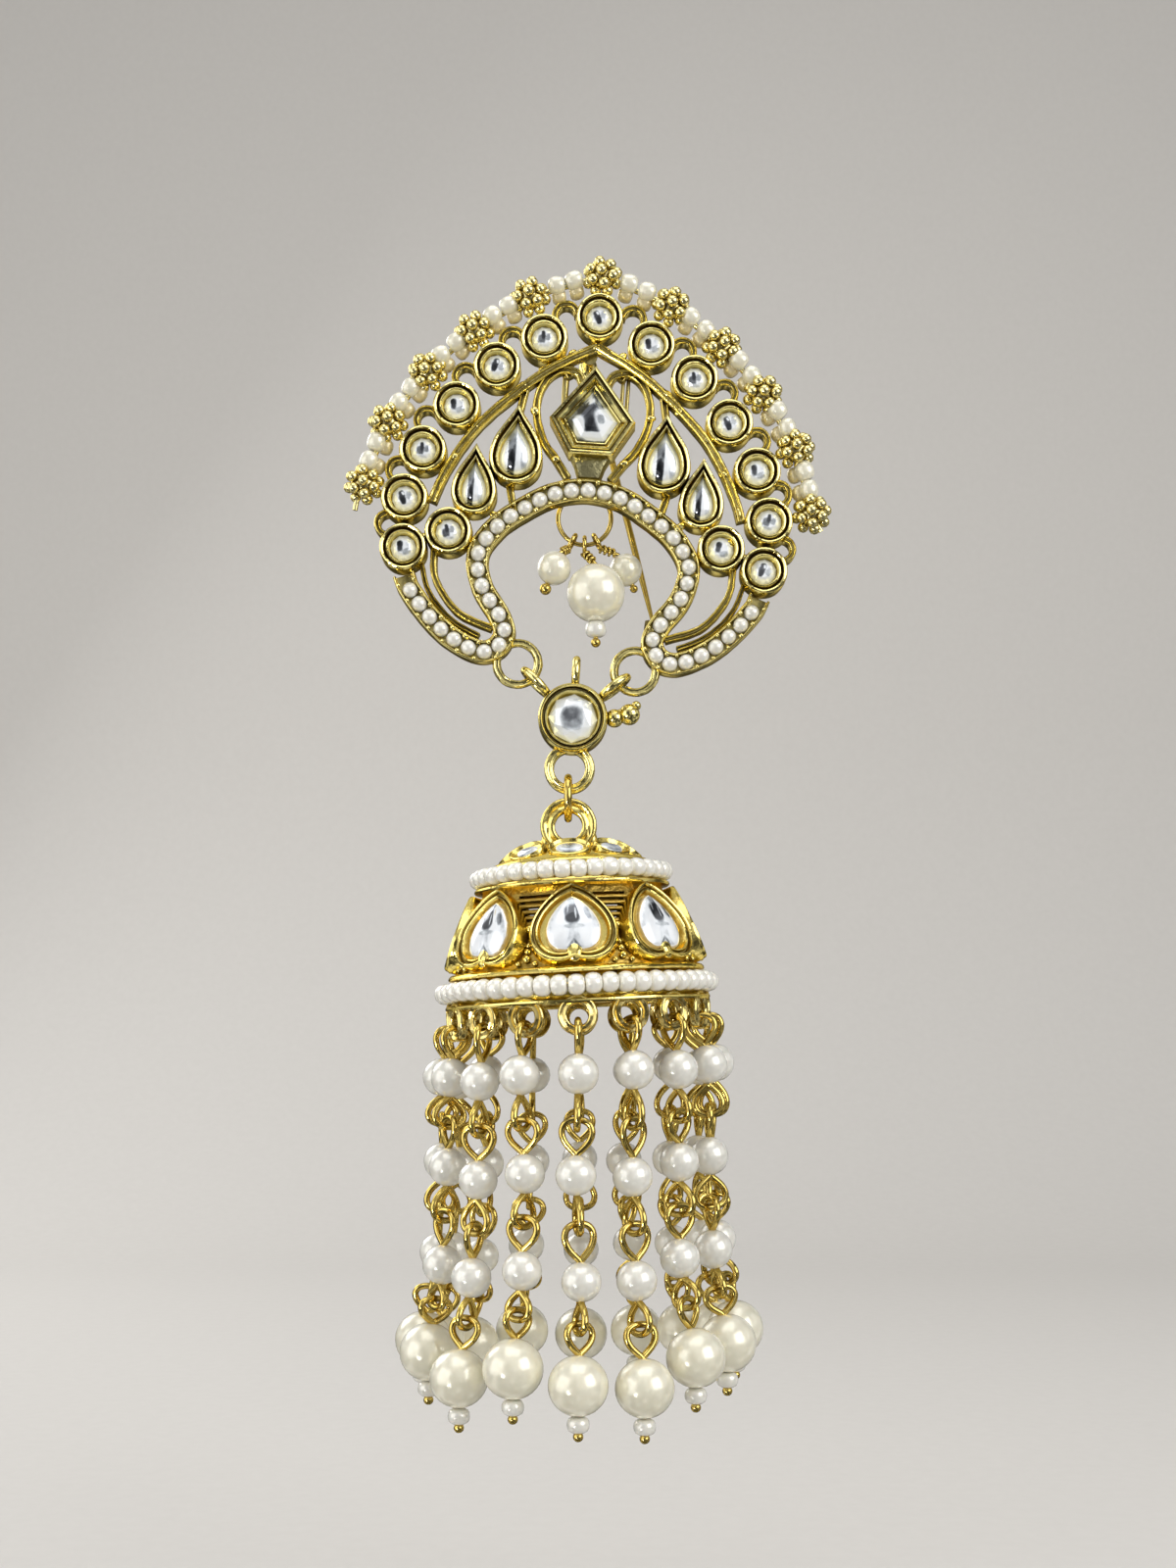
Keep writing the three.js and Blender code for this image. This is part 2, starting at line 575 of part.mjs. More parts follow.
function dome() {
  const around = Array.from({ length: HEARTS.count }, (_, k) => k);
  const shell = toSolid(spun([...DOME_OUTSIDE, ...DOME_INSIDE], DOME_SIDES));
  const bailHeight = BAIL.wire + GAP + JUMP.wire - BAIL.radius;
  const bail = toSolid(moved(wireRing(BAIL.radius, BAIL.wire, 14, 6), 0, 0, bailHeight));
  const hearts = join(around.map((k) => heartPlate(k, 0, -HEARTS.sunk, HEARTS.out)));
  const floor = HEARTS.out - HEARTS.pocket;
  const pockets = join(around.map((k) => heartPlate(k, HEARTS.wall, floor, HEARTS.out + 1)));
  const windows = join(around.map(windowPlate));
  const loops = join(rimLoops.map(({ angle, x, y, z }) => moved(
    wireRing(RIM_LOOP.ring, RIM_LOOP.wire, 8, 4).rotateZ(angle), x, y, z)));
  return shell.subtract(windows).add(hearts).subtract(pockets).add(bail).add(loops);
}

function heartStone(k) {
  const back = HEARTS.out - HEARTS.pocket + GAP;
  return toSolid(heartPlate(k, HEARTS.wall + GAP, back, HEARTS.out + 0.1));
}

// Seed pearls threaded in a ring: the section swells at each bead and narrows between beads.
function pearlRing({ height, radius, across, tall, beads }) {
  const section = Array.from({ length: 5 }, (_, i) => {
    const angle = (Math.PI * i) / 2;
    return [radius + across * Math.cos(angle), height + tall * Math.sin(angle)];
  });
  const geometry = spun(section, 2 * beads);
  const place = geometry.attributes.position;
  for (let i = 0; i < place.count; i += 1) {
    const x = place.getX(i);
    const y = place.getY(i);
    const step = Math.round((Math.atan2(x, y) / Math.PI) * beads);
    if (step % 2) {
      const old = Math.hypot(x, y);
      const next = (radius + (old - radius) * BEAD_WAIST) / old;
      place.setXYZ(i, x * next, y * next, height + (place.getZ(i) - height) * BEAD_WAIST);
    }
  }
  return toSolid(geometry);
}

// ---- Pearl strings --------------------------------------------------------------------------

// Local to the centre of the rim loop that carries the string, +Z up, before it turns to its place.
function stringSolid(k) {
  const s = STRING;
  const eyeAt = -RIM_LOOP.ring + RIM_LOOP.wire + s.eyeWire + GAP - s.eye;
  const slack = STRING_SLACK[k] / 3;
  const pearls = [0, 1, 2].map((i) => -s.firstDrop - i * (s.pitch + slack));
  const end = pearls[2] - s.endPitch - slack;
  const rows = [
    [0, end - s.ballDrop - s.ball], ...ballRows(end - s.ballDrop, s.ball, s.wire / 2, 3),
    ...ballRows(end - s.seedDrop, s.seed, s.wire, 3, s.squash), ...ballRows(end, s.endPearl, s.wire, 5),
    ...[...pearls].reverse().flatMap((height) => ballRows(height, s.pearl, s.wire, 4)),
    [s.wire, eyeAt - s.eye], [0, eyeAt - s.eye],
  ];
  const heights = [eyeAt - s.eye, ...pearls, end];
  const reaches = [0, ...STRING_REACH];
  const geometry = spun(rows, s.sides);
  const place = geometry.attributes.position;
  for (let i = 0; i < place.count; i += 1) {
    const step = heights.findIndex((height) => place.getZ(i) >= height);
    const last = heights.length - 1;
    const out = step === 0 ? 0 : reachAt(place.getZ(i), heights, reaches, step < 0 ? last : step);
    place.setY(i, place.getY(i) - out);
  }
  return join([geometry, moved(edgeRing(s.eye, s.eyeWire, 0, 8, 4), 0, 0, eyeAt)]);
}

// How far out a point of the string lies, between the pearls above and below it.
function reachAt(z, heights, reaches, step) {
  const share = Math.min((heights[step - 1] - z) / (heights[step - 1] - heights[step]), 1);
  return reaches[step - 1] + share * (reaches[step] - reaches[step - 1]);
}

// ---- Assembly -------------------------------------------------------------------------------

const brooch = new THREE.Group();

const head = new THREE.Group();
head.rotation.y = lean;
head.add(
  piece('head_frame', headFrame(), gold),
  piece('centre_stone', kiteStone(), crystal),
  ...ALL_PEARS.map((pear) => piece(`pear_stone_${pear.name}`, pearStone(pear), crystal)),
  ...ROUND_BEZELS.map((bezel) => piece(`round_stone_${bezel.name}`, roundStone(bezel), crystal)),
  piece('half_pearl_row', halfPearlRow(), whitePearl),
  piece('rim_bead_row', rimBeadRow(), gold),
  piece('hair_pin', hairPin(), gold),
  piece('connector', connector(), gold),
  piece('connector_stone', connectorStone(), crystal),
);

const cluster = new THREE.Group();
cluster.add(
  piece('cluster_ring', clusterRing(), gold),
  ...CLUSTER_PEARLS.map((row) => piece(`cluster_pearl_${row.name}`, clusterPearl(row), creamPearl)),
);

// The jump ring hangs plumb from the lowest point of the connector.
const seat = leaned(0, LOWER_RING.z - LOWER_RING.radius);
const jumpRing = piece('jump_ring', toSolid(edgeRing(JUMP.radius, JUMP.wire)), gold);
jumpRing.position.set(seat.x, -LINK_DEPTH, seat.z + LOWER_RING.wire + JUMP.wire + GAP - JUMP.radius);

const hang = new THREE.Vector3(seat.x, -LINK_DEPTH, jumpRing.position.z - JUMP.radius);
const dropLean = THREE.MathUtils.degToRad(DROP_LEAN_DEG);

const drop = new THREE.Group();
drop.position.copy(hang);
drop.rotation.y = dropLean;
drop.add(
  piece('dome', dome(), gold),
  ...PEARL_RINGS.map((row) => piece(row.name, pearlRing(row), whitePearl)),
  ...Array.from({ length: HEARTS.count }, (_, k) => piece(`heart_stone_${k + 1}`, heartStone(k), crystal)),
);

const strings = new THREE.Group();
rimLoops.forEach((loop, k) => {
  const string = piece(`pearl_string_${String(k + 1).padStart(2, '0')}`, stringSolid(k), whitePearl);
  const place = leaned(loop.x, loop.z, dropLean);
  string.position.set(hang.x + place.x, hang.y + loop.y, hang.z + place.z);
  string.rotation.z = loop.angle;
  strings.add(string);
});

brooch.add(head, cluster, jumpRing, drop, strings);

export default brooch;
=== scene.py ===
# A hair brooch of gold-plated metal, set with foil-backed stones and imitation pearls, hanging from its pin.
# The pieces follow as the brooch is put together: head, cluster, connector, jump ring, dome, strings.
import json
import math
import random

import bmesh
import bpy
from mathutils import Matrix, Vector, noise

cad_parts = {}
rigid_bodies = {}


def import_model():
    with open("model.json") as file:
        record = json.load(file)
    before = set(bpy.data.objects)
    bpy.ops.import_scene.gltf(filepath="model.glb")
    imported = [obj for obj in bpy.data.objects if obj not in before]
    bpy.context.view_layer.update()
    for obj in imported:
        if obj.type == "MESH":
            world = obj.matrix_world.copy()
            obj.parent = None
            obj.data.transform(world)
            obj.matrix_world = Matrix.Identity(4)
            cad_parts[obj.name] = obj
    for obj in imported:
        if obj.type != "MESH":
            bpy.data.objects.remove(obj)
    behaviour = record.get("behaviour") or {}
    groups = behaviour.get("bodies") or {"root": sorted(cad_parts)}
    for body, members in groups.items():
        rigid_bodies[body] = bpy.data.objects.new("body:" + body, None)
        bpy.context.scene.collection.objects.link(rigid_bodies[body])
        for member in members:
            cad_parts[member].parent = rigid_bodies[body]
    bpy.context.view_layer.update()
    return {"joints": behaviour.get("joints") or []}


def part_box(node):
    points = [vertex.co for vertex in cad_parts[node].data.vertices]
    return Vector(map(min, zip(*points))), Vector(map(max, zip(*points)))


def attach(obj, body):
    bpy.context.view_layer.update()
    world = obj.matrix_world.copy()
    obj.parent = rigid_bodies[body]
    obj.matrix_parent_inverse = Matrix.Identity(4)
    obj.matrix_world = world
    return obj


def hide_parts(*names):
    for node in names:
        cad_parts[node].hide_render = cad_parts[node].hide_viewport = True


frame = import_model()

# ---- Round cups of the head -----------------------------------------------------------------
# Fifteen cast brass cups, each with an outer rim, a groove and an inner rim that holds the stone.
# They are soldered side by side and plated in bright gold, with painted shade in the recesses that also
# stands for patina.

MM = 0.001
scene_objects = bpy.context.scene.collection.objects
joints = {joint["name"]: joint for joint in frame["joints"]}

# The head leans as far as the line through its two hanging loops, which the connector swings about.
swing_axis = Vector(joints["connector_swing"]["axis"])
HEAD_LEAN = math.atan2(-swing_axis.z, swing_axis.x)
# Its shapes are drawn in millimetres, X to the right, Y up and Z out to the front.
FACING = Matrix.Rotation(math.pi / 2, 4, "X")
HEAD = Matrix.Rotation(HEAD_LEAN, 4, "Y") @ FACING @ Matrix.Scale(MM, 4)


class Wire:
    """A socket of a node tree. Sums written on it become Math nodes."""

    def __init__(self, graph, socket):
        self.graph = graph
        self.socket = socket

    def sum(self, operation, *values):
        return self.graph.node("ShaderNodeMath", {"operation": operation}, *values)

    def __add__(self, other):
        return self.sum("ADD", self, other)

    def __sub__(self, other):
        return self.sum("SUBTRACT", self, other)

    def __rsub__(self, other):
        return self.sum("SUBTRACT", other, self)

    def __mul__(self, other):
        return self.sum("MULTIPLY", self, other)

    __radd__ = __add__
    __rmul__ = __mul__


class Graph:
    """A node tree. node() takes a type, the settings it needs first, and the values or wires it reads."""

    def __init__(self, tree):
        self.tree = tree

    def node(self, kind, settings=None, *values, out=None, **named):
        made = self.tree.nodes.new(kind)
        for key, value in (settings or {}).items():
            if key == "stops":
                self.set_stops(made.color_ramp, value)
            else:
                setattr(made, key, value)
        open_inputs = [socket for socket in made.inputs if socket.enabled]
        for socket, value in zip(open_inputs, values):
            self.feed(socket, value)
        for name, value in named.items():
            label = name.replace("_", " ")
            self.feed(next(socket for socket in open_inputs if socket.name == label), value)
        open_outputs = [socket for socket in made.outputs if socket.enabled]
        return Wire(self, next(s for s in open_outputs if out in (s.name, None)))

    def set_stops(self, ramp, stops):
        while len(ramp.elements) < len(stops):
            ramp.elements.new(0.5)
        for element, (position, colour) in zip(ramp.elements, stops):
            element.position, element.color = position, (*colour, 1)

    def feed(self, socket, value):
        if isinstance(value, Wire):
            self.tree.links.new(value.socket, socket)
        elif value is not None:
            if socket.type == "RGBA" and len(value) == 3:
                value = (*value, 1)
            socket.default_value = value


def finish(name, **shader_values):
    """A material, its graph and its main shader. Values that are the same all over sit on the shader."""
    material = bpy.data.materials.new(name)
    material.use_nodes = True
    shader = material.node_tree.nodes["Principled BSDF"]
    graph = Graph(material.node_tree)
    for key, value in shader_values.items():
        graph.feed(shader.inputs[key.replace("_", " ")], value)
    return material, graph, shader


def gold_finish(name, bright, dark, reach, polish, grain, shade_fade=(0.25, 0.7), shaded_sides=False):
    """Plated metal with a faint cast skin, with painted shade in its recesses that also stands for patina
    there, and on the sides of cast work if asked.

    dark is the colour of the painted shade, its reach is in millimetres, and shade_fade gives the openness
    where the gold first shows and where it shows in full."""
    material, graph, shader = finish(name, Metallic=1.0, Specular_Tint=(1.0, 0.84, 0.45))
    place = graph.node("ShaderNodeTexCoord", out="Object")
    # Painted shade: the gold turns to the dark colour where ambient occlusion finds a recess, standing also
    # for patina there.
    recess_shade = graph.node(
        "ShaderNodeAmbientOcclusion", {"samples": 6, "only_local": True}, Distance=reach * MM, out="AO")
    cloud = graph.node("ShaderNodeTexNoise", {}, place, Scale=1 / (1.4 * MM), Detail=3.0)
    lump = graph.node("ShaderNodeTexNoise", {}, place, Scale=1 / (0.45 * MM), Detail=1.0)
    speck = graph.node("ShaderNodeTexNoise", {}, place, Scale=1 / (0.2 * MM), Detail=2.0)
    shown = graph.node(
        "ShaderNodeMapRange", {}, recess_shade + (cloud - 0.5) * 0.25, From_Min=shade_fade[0], From_Max=shade_fade[1])
    if shaded_sides:
        # Painted shade on the sides of cast work, which also stands for patina there: darkest from 0.2 to
        # 0.4 mm out, and gone from 1.6 mm out and on the flat back.
        depth = graph.node("ShaderNodeSeparateXYZ", {}, place, out="Y")
        front = graph.node("ShaderNodeMapRange", {}, depth, From_Min=-0.4 * MM, From_Max=-1.6 * MM)
        back = graph.node("ShaderNodeMapRange", {}, depth, From_Min=-0.2 * MM, From_Max=0.0)
        shown = shown * (0.3 + 0.7 * front.sum("MAXIMUM", front, back))
    tone = graph.node("ShaderNodeMix", {"data_type": "RGBA"}, cloud, A=bright, B=[c * 0.84 for c in bright])
    # The painted shade: the colour runs from dark in recesses to the gold where the surface is open.
    colour = graph.node("ShaderNodeMix", {"data_type": "RGBA"}, shown, A=dark, B=tone)
    graph.feed(shader.inputs["Base Color"], colour)
    graph.feed(shader.inputs["Roughness"], polish + (cloud - 0.5) * 0.12 + (1 - shown) * 0.25)
    bump = graph.node("ShaderNodeBump", {}, Strength=grain, Distance=0.08 * MM,
                      Height=cloud * 1.3 + lump * 0.9 + speck * 0.25)
    graph.feed(shader.inputs["Normal"], bump)
    return material


antique_gold = gold_finish(
    "antique_gold", (0.96, 0.83, 0.33), (0.09, 0.045, 0.006), 0.5, 0.16, 0.4, shaded_sides=True)


def flat(x, y, out=0.0):
    """A point of the drawing plane, or one that stands out from it."""
    return Vector((x, y, out))


def skin(shape, rings, capped=True):
    """Joins closed rings of equal count one after another, and caps the first and the last."""
    rows = [[shape.verts.new(point) for point in ring] for ring in rings]
    count = len(rows[0])
    for low, high in zip(rows, rows[1:]):
        for i in range(count):
            j = (i + 1) % count
            shape.faces.new((low[i], low[j], high[j], high[i]))
    if capped:
        shape.faces.new(rows[0][::-1])
        shape.faces.new(rows[-1])
    return shape


def stacked(outline, rows, shape=None, middle=(0, 0)):
    """Rings of one outline, a row of inset and height for each."""
    rings = [[flat(x + middle[0], y + middle[1], out) for x, y in outline(inset)] for inset, out in rows]
    return skin(shape or bmesh.new(), rings)


def smoothed(mesh, crease):
    """Shades a mesh smooth, with edges kept sharp where it turns more than the crease."""
    mesh.polygons.foreach_set("use_smooth", [True] * len(mesh.polygons))
    mesh.set_sharp_from_angle(angle=math.radians(crease))
    return mesh


def mesh_from(name, shape, place=None, crease=38):
    """A mesh from a bmesh shape, with its faces turned outwards."""
    bmesh.ops.recalc_face_normals(shape, faces=shape.faces)
    mesh = bpy.data.meshes.new(name)
    shape.to_mesh(mesh)
    shape.free()
    if place is not None:
        mesh.transform(place)
    return smoothed(mesh, crease)


# The seed keeps the unevenness the same in every run.
noise.seed_set(6)


def uneven(mesh, size=0.9, depth=0.035):
    """Moves the points a little, as in metal cast in a worn mould. Sizes are in millimetres."""
    for vert in mesh.vertices:
        vert.co += depth * MM * noise.noise_vector(vert.co / (size * MM))
    return mesh


def fit(name, mesh, body, slot, *nodes, material=None):
    """Puts a finished mesh on its body, in the place of the plain nodes that it stands for."""
    piece = bpy.data.objects.new(name, mesh)
    scene_objects.link(piece)
    mesh.name = name
    if material is not None:
        mesh.materials.clear()
        mesh.materials.append(material)
    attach(piece, body)
    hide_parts(*nodes)
    return piece


def new_tree(name, *inputs):
    """A Geometry Nodes tree with named inputs, and its graph and the wires of its inputs."""
    tree = bpy.data.node_groups.new(name, "GeometryNodeTree")
    for label, kind in inputs:
        tree.interface.new_socket(label, in_out="INPUT", socket_type="NodeSocket" + kind)
    tree.interface.new_socket("Geometry", in_out="OUTPUT", socket_type="NodeSocketGeometry")
    graph = Graph(tree)
    entry = tree.nodes.new("NodeGroupInput")
    return graph, [Wire(graph, socket) for socket in entry.outputs[: len(inputs)]]


def close_tree(graph, geometry, material):
    """Ends a tree with real geometry in one material."""
    real = graph.node("GeometryNodeRealizeInstances", {}, geometry)
    painted = graph.node("GeometryNodeSetMaterial", {}, real, Material=material)
    graph.feed(graph.tree.nodes.new("NodeGroupOutput").inputs[0], painted)
    return graph.tree


def grown(tree, base, **values):
    """The plain mesh that a tree grows on a base mesh."""
    holder = bpy.data.objects.new(tree.name, base)
    scene_objects.link(holder)
    modifier = holder.modifiers.new(tree.name, "NODES")
    modifier.node_group = tree
    for item in tree.interface.items_tree:
        if item.in_out == "INPUT" and item.name in values:
            modifier[item.identifier] = values[item.name]
    seen = holder.evaluated_get(bpy.context.evaluated_depsgraph_get())
    mesh = bpy.data.meshes.new_from_object(seen)
    holder.modifiers.remove(modifier)
    bpy.data.objects.remove(holder)
    for value in values.values():
        if isinstance(value, bpy.types.Object):
            bpy.data.objects.remove(value)
    return mesh


def pattern(mesh):
    """A loose object that holds a mesh for a tree to repeat."""
    holder = bpy.data.objects.new("pattern", mesh)
    scene_objects.link(holder)
    return holder


def repeat_tree():
    """One pattern on every point, turned and sized by the point's own attributes."""
    graph, (seats, shape, material) = new_tree(
        "set_on_seats", ("Seats", "Geometry"), ("Pattern", "Object"), ("Material", "Material"))
    turn = graph.node("GeometryNodeInputNamedAttribute", {"data_type": "QUATERNION"}, "turn")
    size = graph.node("GeometryNodeInputNamedAttribute", {"data_type": "FLOAT_VECTOR"}, "size")
    held = graph.node("GeometryNodeObjectInfo", {}, shape, As_Instance=True, out="Geometry")
    placed = graph.node(
        "GeometryNodeInstanceOnPoints", {}, seats, Instance=held, Rotation=turn, Scale=size)
    return close_tree(graph, placed, material)


set_on_seats = repeat_tree()


def seats_mesh(places):
    """Points with a turn and a size, from a list of matrices."""
    mesh = bpy.data.meshes.new("seats")
    mesh.from_pydata([place.to_translation() for place in places], [], [])
    mesh.attributes.new("turn", "QUATERNION", "POINT")
    mesh.attributes.new("size", "FLOAT_VECTOR", "POINT")
    for i, place in enumerate(places):
        mesh.attributes["turn"].data[i].value = place.to_quaternion()
        mesh.attributes["size"].data[i].vector = place.to_scale()
    return mesh


def repeated(mesh, places, material):
    """Copies of a mesh on many places, as one plain mesh."""
    return grown(set_on_seats, seats_mesh(places), Pattern=pattern(mesh), Material=material)


CUP_RADIUS = 2.45
CUP_SIDES = 32
# How far in from the outer edge, and how far out from the back plane: the wall, the wide outer rim, the thin
# groove, the rounded inner rim, and the slope that the stone sits on.
CUP_ROWS = [
    (0.12, 0.0), (0.02, 0.08), (0.0, 0.5), (0.01, 2.1), (0.06, 2.38), (0.15, 2.55), (0.27, 2.6),
    (0.39, 2.54), (0.46, 2.36), (0.5, 2.12), (0.56, 2.06), (0.62, 2.14), (0.67, 2.32), (0.76, 2.45),
    (0.87, 2.48), (0.97, 2.38), (1.03, 2.15), (1.07, 1.8), (1.12, 1.5)]


def circle(radius, sides, start=0.0):
    """A round outline. An outline gives its points for any inset from the outer edge."""
    def outline(inset):
        turns = [start + 2 * math.pi * i / sides for i in range(sides)]
        return [((radius - inset) * math.cos(turn), (radius - inset) * math.sin(turn)) for turn in turns]
    return outline


def head_seat(node):
    """The place in the back plane of the head that lies behind the middle of a node."""
    low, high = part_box(node)
    middle = HEAD.inverted() @ ((low + high) / 2)
    return HEAD @ Matrix.Translation((middle.x, middle.y, 0))


round_nodes = ["round_stone_top"] + [
    f"round_stone_{side}_{i}" for side in ("right", "left") for i in range(1, 8)]
round_seats = [head_seat(node) for node in round_nodes]
one_cup = mesh_from("round_cup", stacked(circle(CUP_RADIUS, CUP_SIDES), CUP_ROWS))
fit("round_cups", uneven(repeated(one_cup, round_seats, antique_gold)), "head", "antique_gold",
    "head_frame")

# ---- Stones of the round cups ---------------------------------------------------------------
# Fifteen clear stones, cut with a table and two rows of facets, and backed with silver foil.
# The dark of the table and the white of the facets are painted reflections.
# Each sits on the slope inside its cup.


def crystal_finish(name, tones):
    """Foil-backed stone, with a painted reflection tone at each point, which also glows faintly as painted
    light.

    The tone runs from the painted dark reflection of the table to the painted white reflection of the
    facets, and then to the foil at the edge."""
    material, graph, shader = finish(
        name, Coat_Weight=1.0, Coat_Roughness=0.02, Coat_IOR=1.52, Emission_Strength=0.12)
    place = graph.node("ShaderNodeTexCoord", out="Object")
    tone = graph.node("ShaderNodeAttribute", {"attribute_name": "facet"}, out="Fac")
    cloud = graph.node("ShaderNodeTexNoise", {}, place, Scale=1 / (0.7 * MM), Detail=2.0)
    shown = tone + (cloud - 0.5) * 0.3
    ramp = graph.node("ShaderNodeValToRGB", {"stops": tones}, shown, out="Color")
    graph.feed(shader.inputs["Base Color"], ramp)
    # The same colours also glow faintly: a painted glow.
    graph.feed(shader.inputs["Emission Color"], ramp)
    clear = graph.node("ShaderNodeMapRange", {}, shown, From_Min=0.2, From_Max=0.6)
    graph.feed(shader.inputs["Metallic"], 0.9 - clear * 0.65)
    graph.feed(shader.inputs["Roughness"], 0.1 + clear * 0.15)
    return material


# Painted reflections, from dark grey through white, and the gold of the foil at the top.
crystal = crystal_finish("foiled_crystal", [
    (0.0, (0.03, 0.033, 0.04)), (0.25, (0.13, 0.14, 0.16)), (0.45, (0.48, 0.52, 0.56)),
    (0.62, (0.86, 0.90, 0.95)), (0.84, (0.93, 0.96, 0.99)), (1.0, (0.60, 0.44, 0.17))])

ROUND_STONE = {"radius": 1.32, "sides": 10, "ground": 0.8}
# Inset, height and half turns of each row of facets, from the girdle up to the table.
ROUND_STONE_CUT = [(0.0, 1.45, 0), (0.0, 1.62, 0), (0.36, 2.02, 1), (0.66, 2.24, 0)]
# An oval patch of painted reflection ends at this many times its size, and fades over this share of it.
PATCH_END, PATCH_FADE = 1.2, 0.42


def tone_points(shape, tone):
    """Gives each point of a stone its painted reflection tone, so that it runs smoothly over the stone."""
    layer = shape.verts.layers.float.new("facet")
    for vert in shape.verts:
        vert[layer] = tone(vert.co)
    return shape


def painted(point, ground, patches):
    """The painted reflection tone of a point on a stone: a ground, and ovals laid over it in turn.

    A patch gives the oval's middle, half width and half height, its lean in degrees and its tone."""
    tone = ground
    for x, y, wide, high, lean, patch in patches:
        turn = math.radians(lean)
        across, up = point.x - x, point.y - y
        u = abs(across * math.cos(turn) + up * math.sin(turn)) / wide
        v = abs(up * math.cos(turn) - across * math.sin(turn)) / high
        away = (u ** 3 + v ** 3) ** (1 / 3)
        tone += (patch - tone) * min(max((PATCH_END - away) / PATCH_FADE, 0), 1)
    return tone


def finely_cut(shape, cuts):
    """Divides the facets of a stone without bending them, so that tones can run over them."""
    bmesh.ops.triangulate(shape, faces=[face for face in shape.faces if len(face.verts) == 4])
    bmesh.ops.poke(shape, faces=[face for face in shape.faces if len(face.verts) > 4])
    bmesh.ops.subdivide_edges(shape, edges=shape.edges[:], cuts=cuts, use_grid_fill=True)
    return shape


def cut_stone(name, radius, cut, sides, patches):
    """A round stone of flat facets, with its painted reflection tones."""
    rings = []
    for inset, out, half_turns in cut:
        turned_outline = circle(radius, sides, half_turns * math.pi / sides)
        rings.append([flat(x, y, out) for x, y in turned_outline(inset)])
    shape = finely_cut(skin(bmesh.new(), rings), cuts=3)
    toned = tone_points(shape, lambda point: painted(point, ROUND_STONE["ground"], patches))
    return mesh_from(name, toned, crease=8)


def joined(name, meshes, place=None):
    """Several meshes as one."""
    shape = bmesh.new()
    for mesh in meshes:
        shape.from_mesh(mesh)
    whole = bpy.data.meshes.new(name)
    shape.to_mesh(whole)
    shape.free()
    if place is not None:
        whole.transform(place)
    return whole


# Three patterns of painted dark reflection on such a stone.
ROUND_PATCHES = [
    [(0.5, 0.1, 0.3, 0.5, 0, 0.5), (-0.8, 0.2, 0.2, 0.5, 10, 0.6), (-0.2, 0.05, 0.34, 0.72, 4, 0.24),
     (-0.18, -0.32, 0.24, 0.36, 0, 0.04), (-0.05, 0.4, 0.1, 0.2, 20, 0.7)],
    [(0.35, -0.45, 0.5, 0.34, 20, 0.5), (-0.3, 0.1, 0.3, 0.6, -6, 0.22), (-0.4, 0.35, 0.2, 0.26, 0, 0.05),
     (0.5, 0.35, 0.22, 0.34, -20, 0.56)],
    [(-0.25, -0.2, 0.42, 0.46, 0, 0.3), (-0.1, 0.3, 0.2, 0.42, 12, 0.1), (0.42, 0.1, 0.26, 0.4, 0, 0.42),
     (0.1, -0.72, 0.5, 0.14, 0, 0.58)],
]
random.seed(2)
round_stones = []
for kind, patches in enumerate(ROUND_PATCHES):
    stone = cut_stone(
        "round_stone", ROUND_STONE["radius"], ROUND_STONE_CUT, ROUND_STONE["sides"], patches)
    seats = [
        seat @ Matrix.Rotation(random.uniform(-0.4, 0.4), 4, "Z")
        for seat in round_seats[kind::len(ROUND_PATCHES)]]
    round_stones.append(repeated(stone, seats, crystal))
fit("round_stones", joined("round_stones", round_stones), "head", "crystal", *round_nodes,
    material=crystal)

# ---- Pear cups and their stones -------------------------------------------------------------
# Four drop-shaped cups, two on each side of the middle, with the same double rim as the round ones.
# Each holds a smooth domed stone over foil, with painted dark and white reflections.

PEARS = [
    {"node": "pear_stone_large_right", "x": 7.6, "y": -4.8, "width": 5.5, "height": 8.3},
    {"node": "pear_stone_large_left", "x": -7.6, "y": -4.8, "width": 5.5, "height": 8.3},
    {"node": "pear_stone_small_right", "x": 11.65, "y": -8.6, "width": 4.7, "height": 7.4},
    {"node": "pear_stone_small_left", "x": -11.65, "y": -8.6, "width": 4.7, "height": 7.4},
]
PEAR_DEEPER = 0.2
PEAR_STONE = {"inset": 1.0, "girdle": 1.5, "rise": 1.15, "table": 0.1, "ground": 0.82}
# Across in half widths of the stone, and up in heights of the cup: painted reflections, white at the edges,
# dark in upright streaks between, and a thin white streak in the dark.
PEAR_PATCHES = [
    (-0.05, 0.3, 0.5, 0.2, 0, 0.5), (0.5, 0.06, 0.22, 0.26, 0, 0.52), (-0.28, 0.04, 0.32, 0.25, 0, 0.36),
    (-0.26, -0.07, 0.22, 0.15, 0, 0.05), (0.1, 0.02, 0.07, 0.2, 4, 0.7), (-0.1, 0.14, 0.06, 0.08, 0, 0.3),
    (-0.5, 0.02, 0.05, 0.2, 0, 0.8)]


def bezier(start, first, second, end, steps):
    """Points of one curve, without its last."""
    points = []
    for i in range(steps):
        t = i / steps
        blend = ((1 - t) ** 3, 3 * t * (1 - t) ** 2, 3 * t * t * (1 - t), t ** 3)
        row = [sum(w * p[axis] for w, p in zip(blend, (start, first, second, end))) for axis in (0, 1)]
        points.append(tuple(row))
    return points


def pear(width, height):
    """The outline of a drop with its point up, round about its widest place."""
    def outline(inset):
        radius = max(width / 2 - inset, 0.02)
        tip = max(height - width / 2 - 1.7 * inset, radius * 1.02)
        left = bezier((0, tip), (-0.42 * radius, 0.62 * tip), (-radius, 0.42 * tip), (-radius, 0), 10)
        turns = [math.pi + math.pi * i / 16 for i in range(17)]
        foot = [(radius * math.cos(turn), radius * math.sin(turn)) for turn in turns]
        right = [(-x, y) for x, y in left[:0:-1]]
        return left + foot + right
    return outline


def deeper(rows, extra):
    """The same rim, with its walls made higher."""
    return [(inset, out + (extra if out > 1 else 0)) for inset, out in rows]


